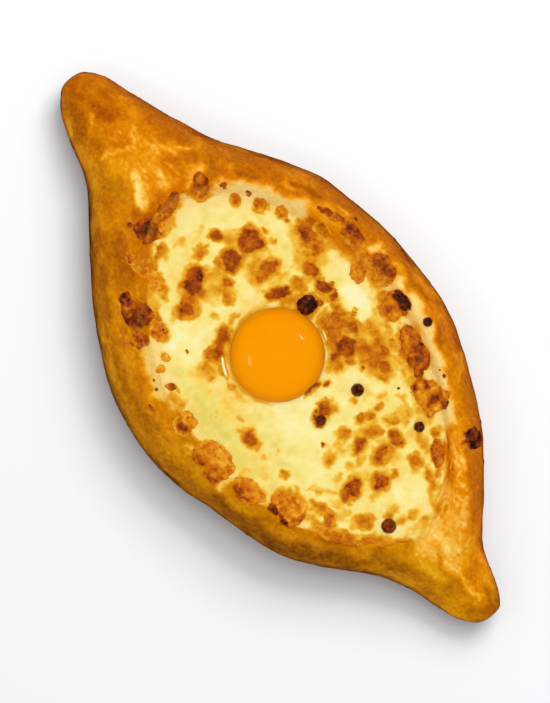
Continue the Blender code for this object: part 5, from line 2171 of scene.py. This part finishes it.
@dataclass
class Studio:
    """The floor, the soft lights and the camera that looks straight down."""

    camera_turn: float = 51.9
    lens: float = 150.0
    frame_height: float = 273.1 * MM
    crest: float = 22 * MM

    def build(self) -> None:
        """Builds the studio."""
        self.camera()
        self.lights(self.floor())
        scene = bpy.context.scene
        scene.view_settings.view_transform = "Standard"

    def camera(self) -> None:
        """Hangs the camera over the middle of the boat."""
        data = bpy.data.cameras.new("camera")
        data.lens = self.lens
        data.clip_end = 10.0
        distance = self.frame_height * self.lens / data.sensor_width
        middle = (CAD_BOX[0] + CAD_BOX[1]) / 2
        camera = bpy.data.objects.new("camera", data)
        camera.location = (middle.x, middle.y, self.crest + distance)
        camera.rotation_euler.z = math.radians(self.camera_turn)
        bpy.context.scene.collection.objects.link(camera)
        bpy.context.scene.camera = camera

    @staticmethod
    def floor() -> bpy.types.Object:
        """Lays a wide pale floor under the boat.

        Returns:
            The floor.
        """
        mesh = bpy.data.meshes.new("floor")
        reach = 3.0
        corners = [(-reach, -reach, 0), (reach, -reach, 0), (reach, reach, 0), (-reach, reach, 0)]
        mesh.from_pydata(corners, [], [(0, 1, 2, 3)])
        floor = MeshWork.add("floor", mesh)
        mesh.materials.append(PlainFinish("floor", (226, 226, 226)).material())
        floor.visible_glossy = False
        return floor

    def lights(self, floor: bpy.types.Object) -> None:
        """Sets an even white room, soft lights for the boat and for the floor, and two small ones for glints.

        Args:
            floor: What the floor's own lamp shines on.
        """
        world = bpy.data.worlds.new("room")
        bpy.context.scene.world = world
        world.use_nodes = True
        world.node_tree.nodes["Background"].inputs["Color"].default_value = (0.93, 0.97, 1.0, 1)
        world.node_tree.nodes["Background"].inputs["Strength"].default_value = 0.6
        world.cycles_visibility.glossy = False
        on_floor, off_floor = bpy.data.collections.new("on_floor"), bpy.data.collections.new("off_floor")
        on_floor.objects.link(floor)
        off_floor.objects.link(floor)
        off_floor.collection_objects[0].light_linking.link_state = "EXCLUDE"
        for name, place, size, power, receivers in (
            ("key", (-0.12, 0.26, 1.15), 0.85, 4.7, off_floor),
            ("fill", (0.1, -0.5, 1.05), 0.6, 1.8, off_floor),
            ("floor_key", (-0.2, 0.45, 1.1), 0.8, 6.2, on_floor),
            ("backdrop", (-0.3, 0.78, 0.9), 0.62, 7.8, on_floor),
        ):
            lamp = self.lamp(name, place, (size, size), power)
            lamp.visible_glossy = False
            lamp.light_linking.receiver_collection = receivers
        self.lamp("far_glint", (0.0, 0.7, 0.98), (0.14, 0.035), 0.5)
        self.lamp("near_glint", (-0.29, -0.62, 0.99), (0.16, 0.04), 0.5)

    @staticmethod
    def lamp(name: str, place: tuple[float, float, float], size: tuple[float, float],
             power: float) -> bpy.types.Object:
        """Adds a lamp that faces the boat.

        Args:
            name: What the lamp is called.
            place: Where it hangs, in metres.
            size: Its two sides, in metres.
            power: Its power, in watts.

        Returns:
            The lamp.
        """
        data = bpy.data.lights.new(name, "AREA")
        data.shape = "RECTANGLE"
        data.size, data.size_y = size
        data.energy = power
        lamp = bpy.data.objects.new(name, data)
        lamp.location = place
        lamp.rotation_euler = Vector(place).to_track_quat("Z", "Y").to_euler()
        bpy.context.scene.collection.objects.link(lamp)
        return lamp


def main() -> None:
    """Builds every piece in order."""
    logging.basicConfig(level=logging.INFO, format="%(name)s: %(message)s")
    Studio().build()
    effects = SharedEffects()
    boat = Boat()

    baking = CrustBaking(boat)
    bread = Bread(boat, baking).build()
    MeshWork.hand_over(bread, CRUST.material(effects), "crust", ["bread"])
    bread_top = TopSurface(bread)

    filling = Cheese(boat, bread_top, baking)
    cheese = filling.build()
    MeshWork.hand_over(cheese, CHEESE.material(effects), "cheese", ["cheese"])
    cheese_top = TopSurface(cheese)

    yolk = Yolk(boat).build()
    MeshWork.hand_over(yolk, YolkFinish().material(), "yolk", ["yolk"])
    white = EggWhite(boat, filling, cheese_top).build()
    MeshWork.hand_over(white, EGG_WHITE.material(effects), "yolk", [])

    browned = BROWNED.material(effects)
    granules = GranuleTree()
    grains = BrownedGranules(cheese, browned, granules).build()
    MeshWork.hand_over(grains, browned, "browned_cheese", [])
    curds = CurdLumps(boat, [bread_top, cheese_top], browned, granules)
    for lump in curds.build():
        MeshWork.hand_over(lump, browned, "browned_cheese", [lump.name.replace("granular", "browned")])
    MeshWork.hand_over(curds.scraps(), browned, "browned_cheese", [])
    beads = CharredBeads(boat, [bread_top, cheese_top], browned).build()
    MeshWork.hand_over(beads, browned, "browned_cheese", [])


if __name__ == "__main__":
    main()
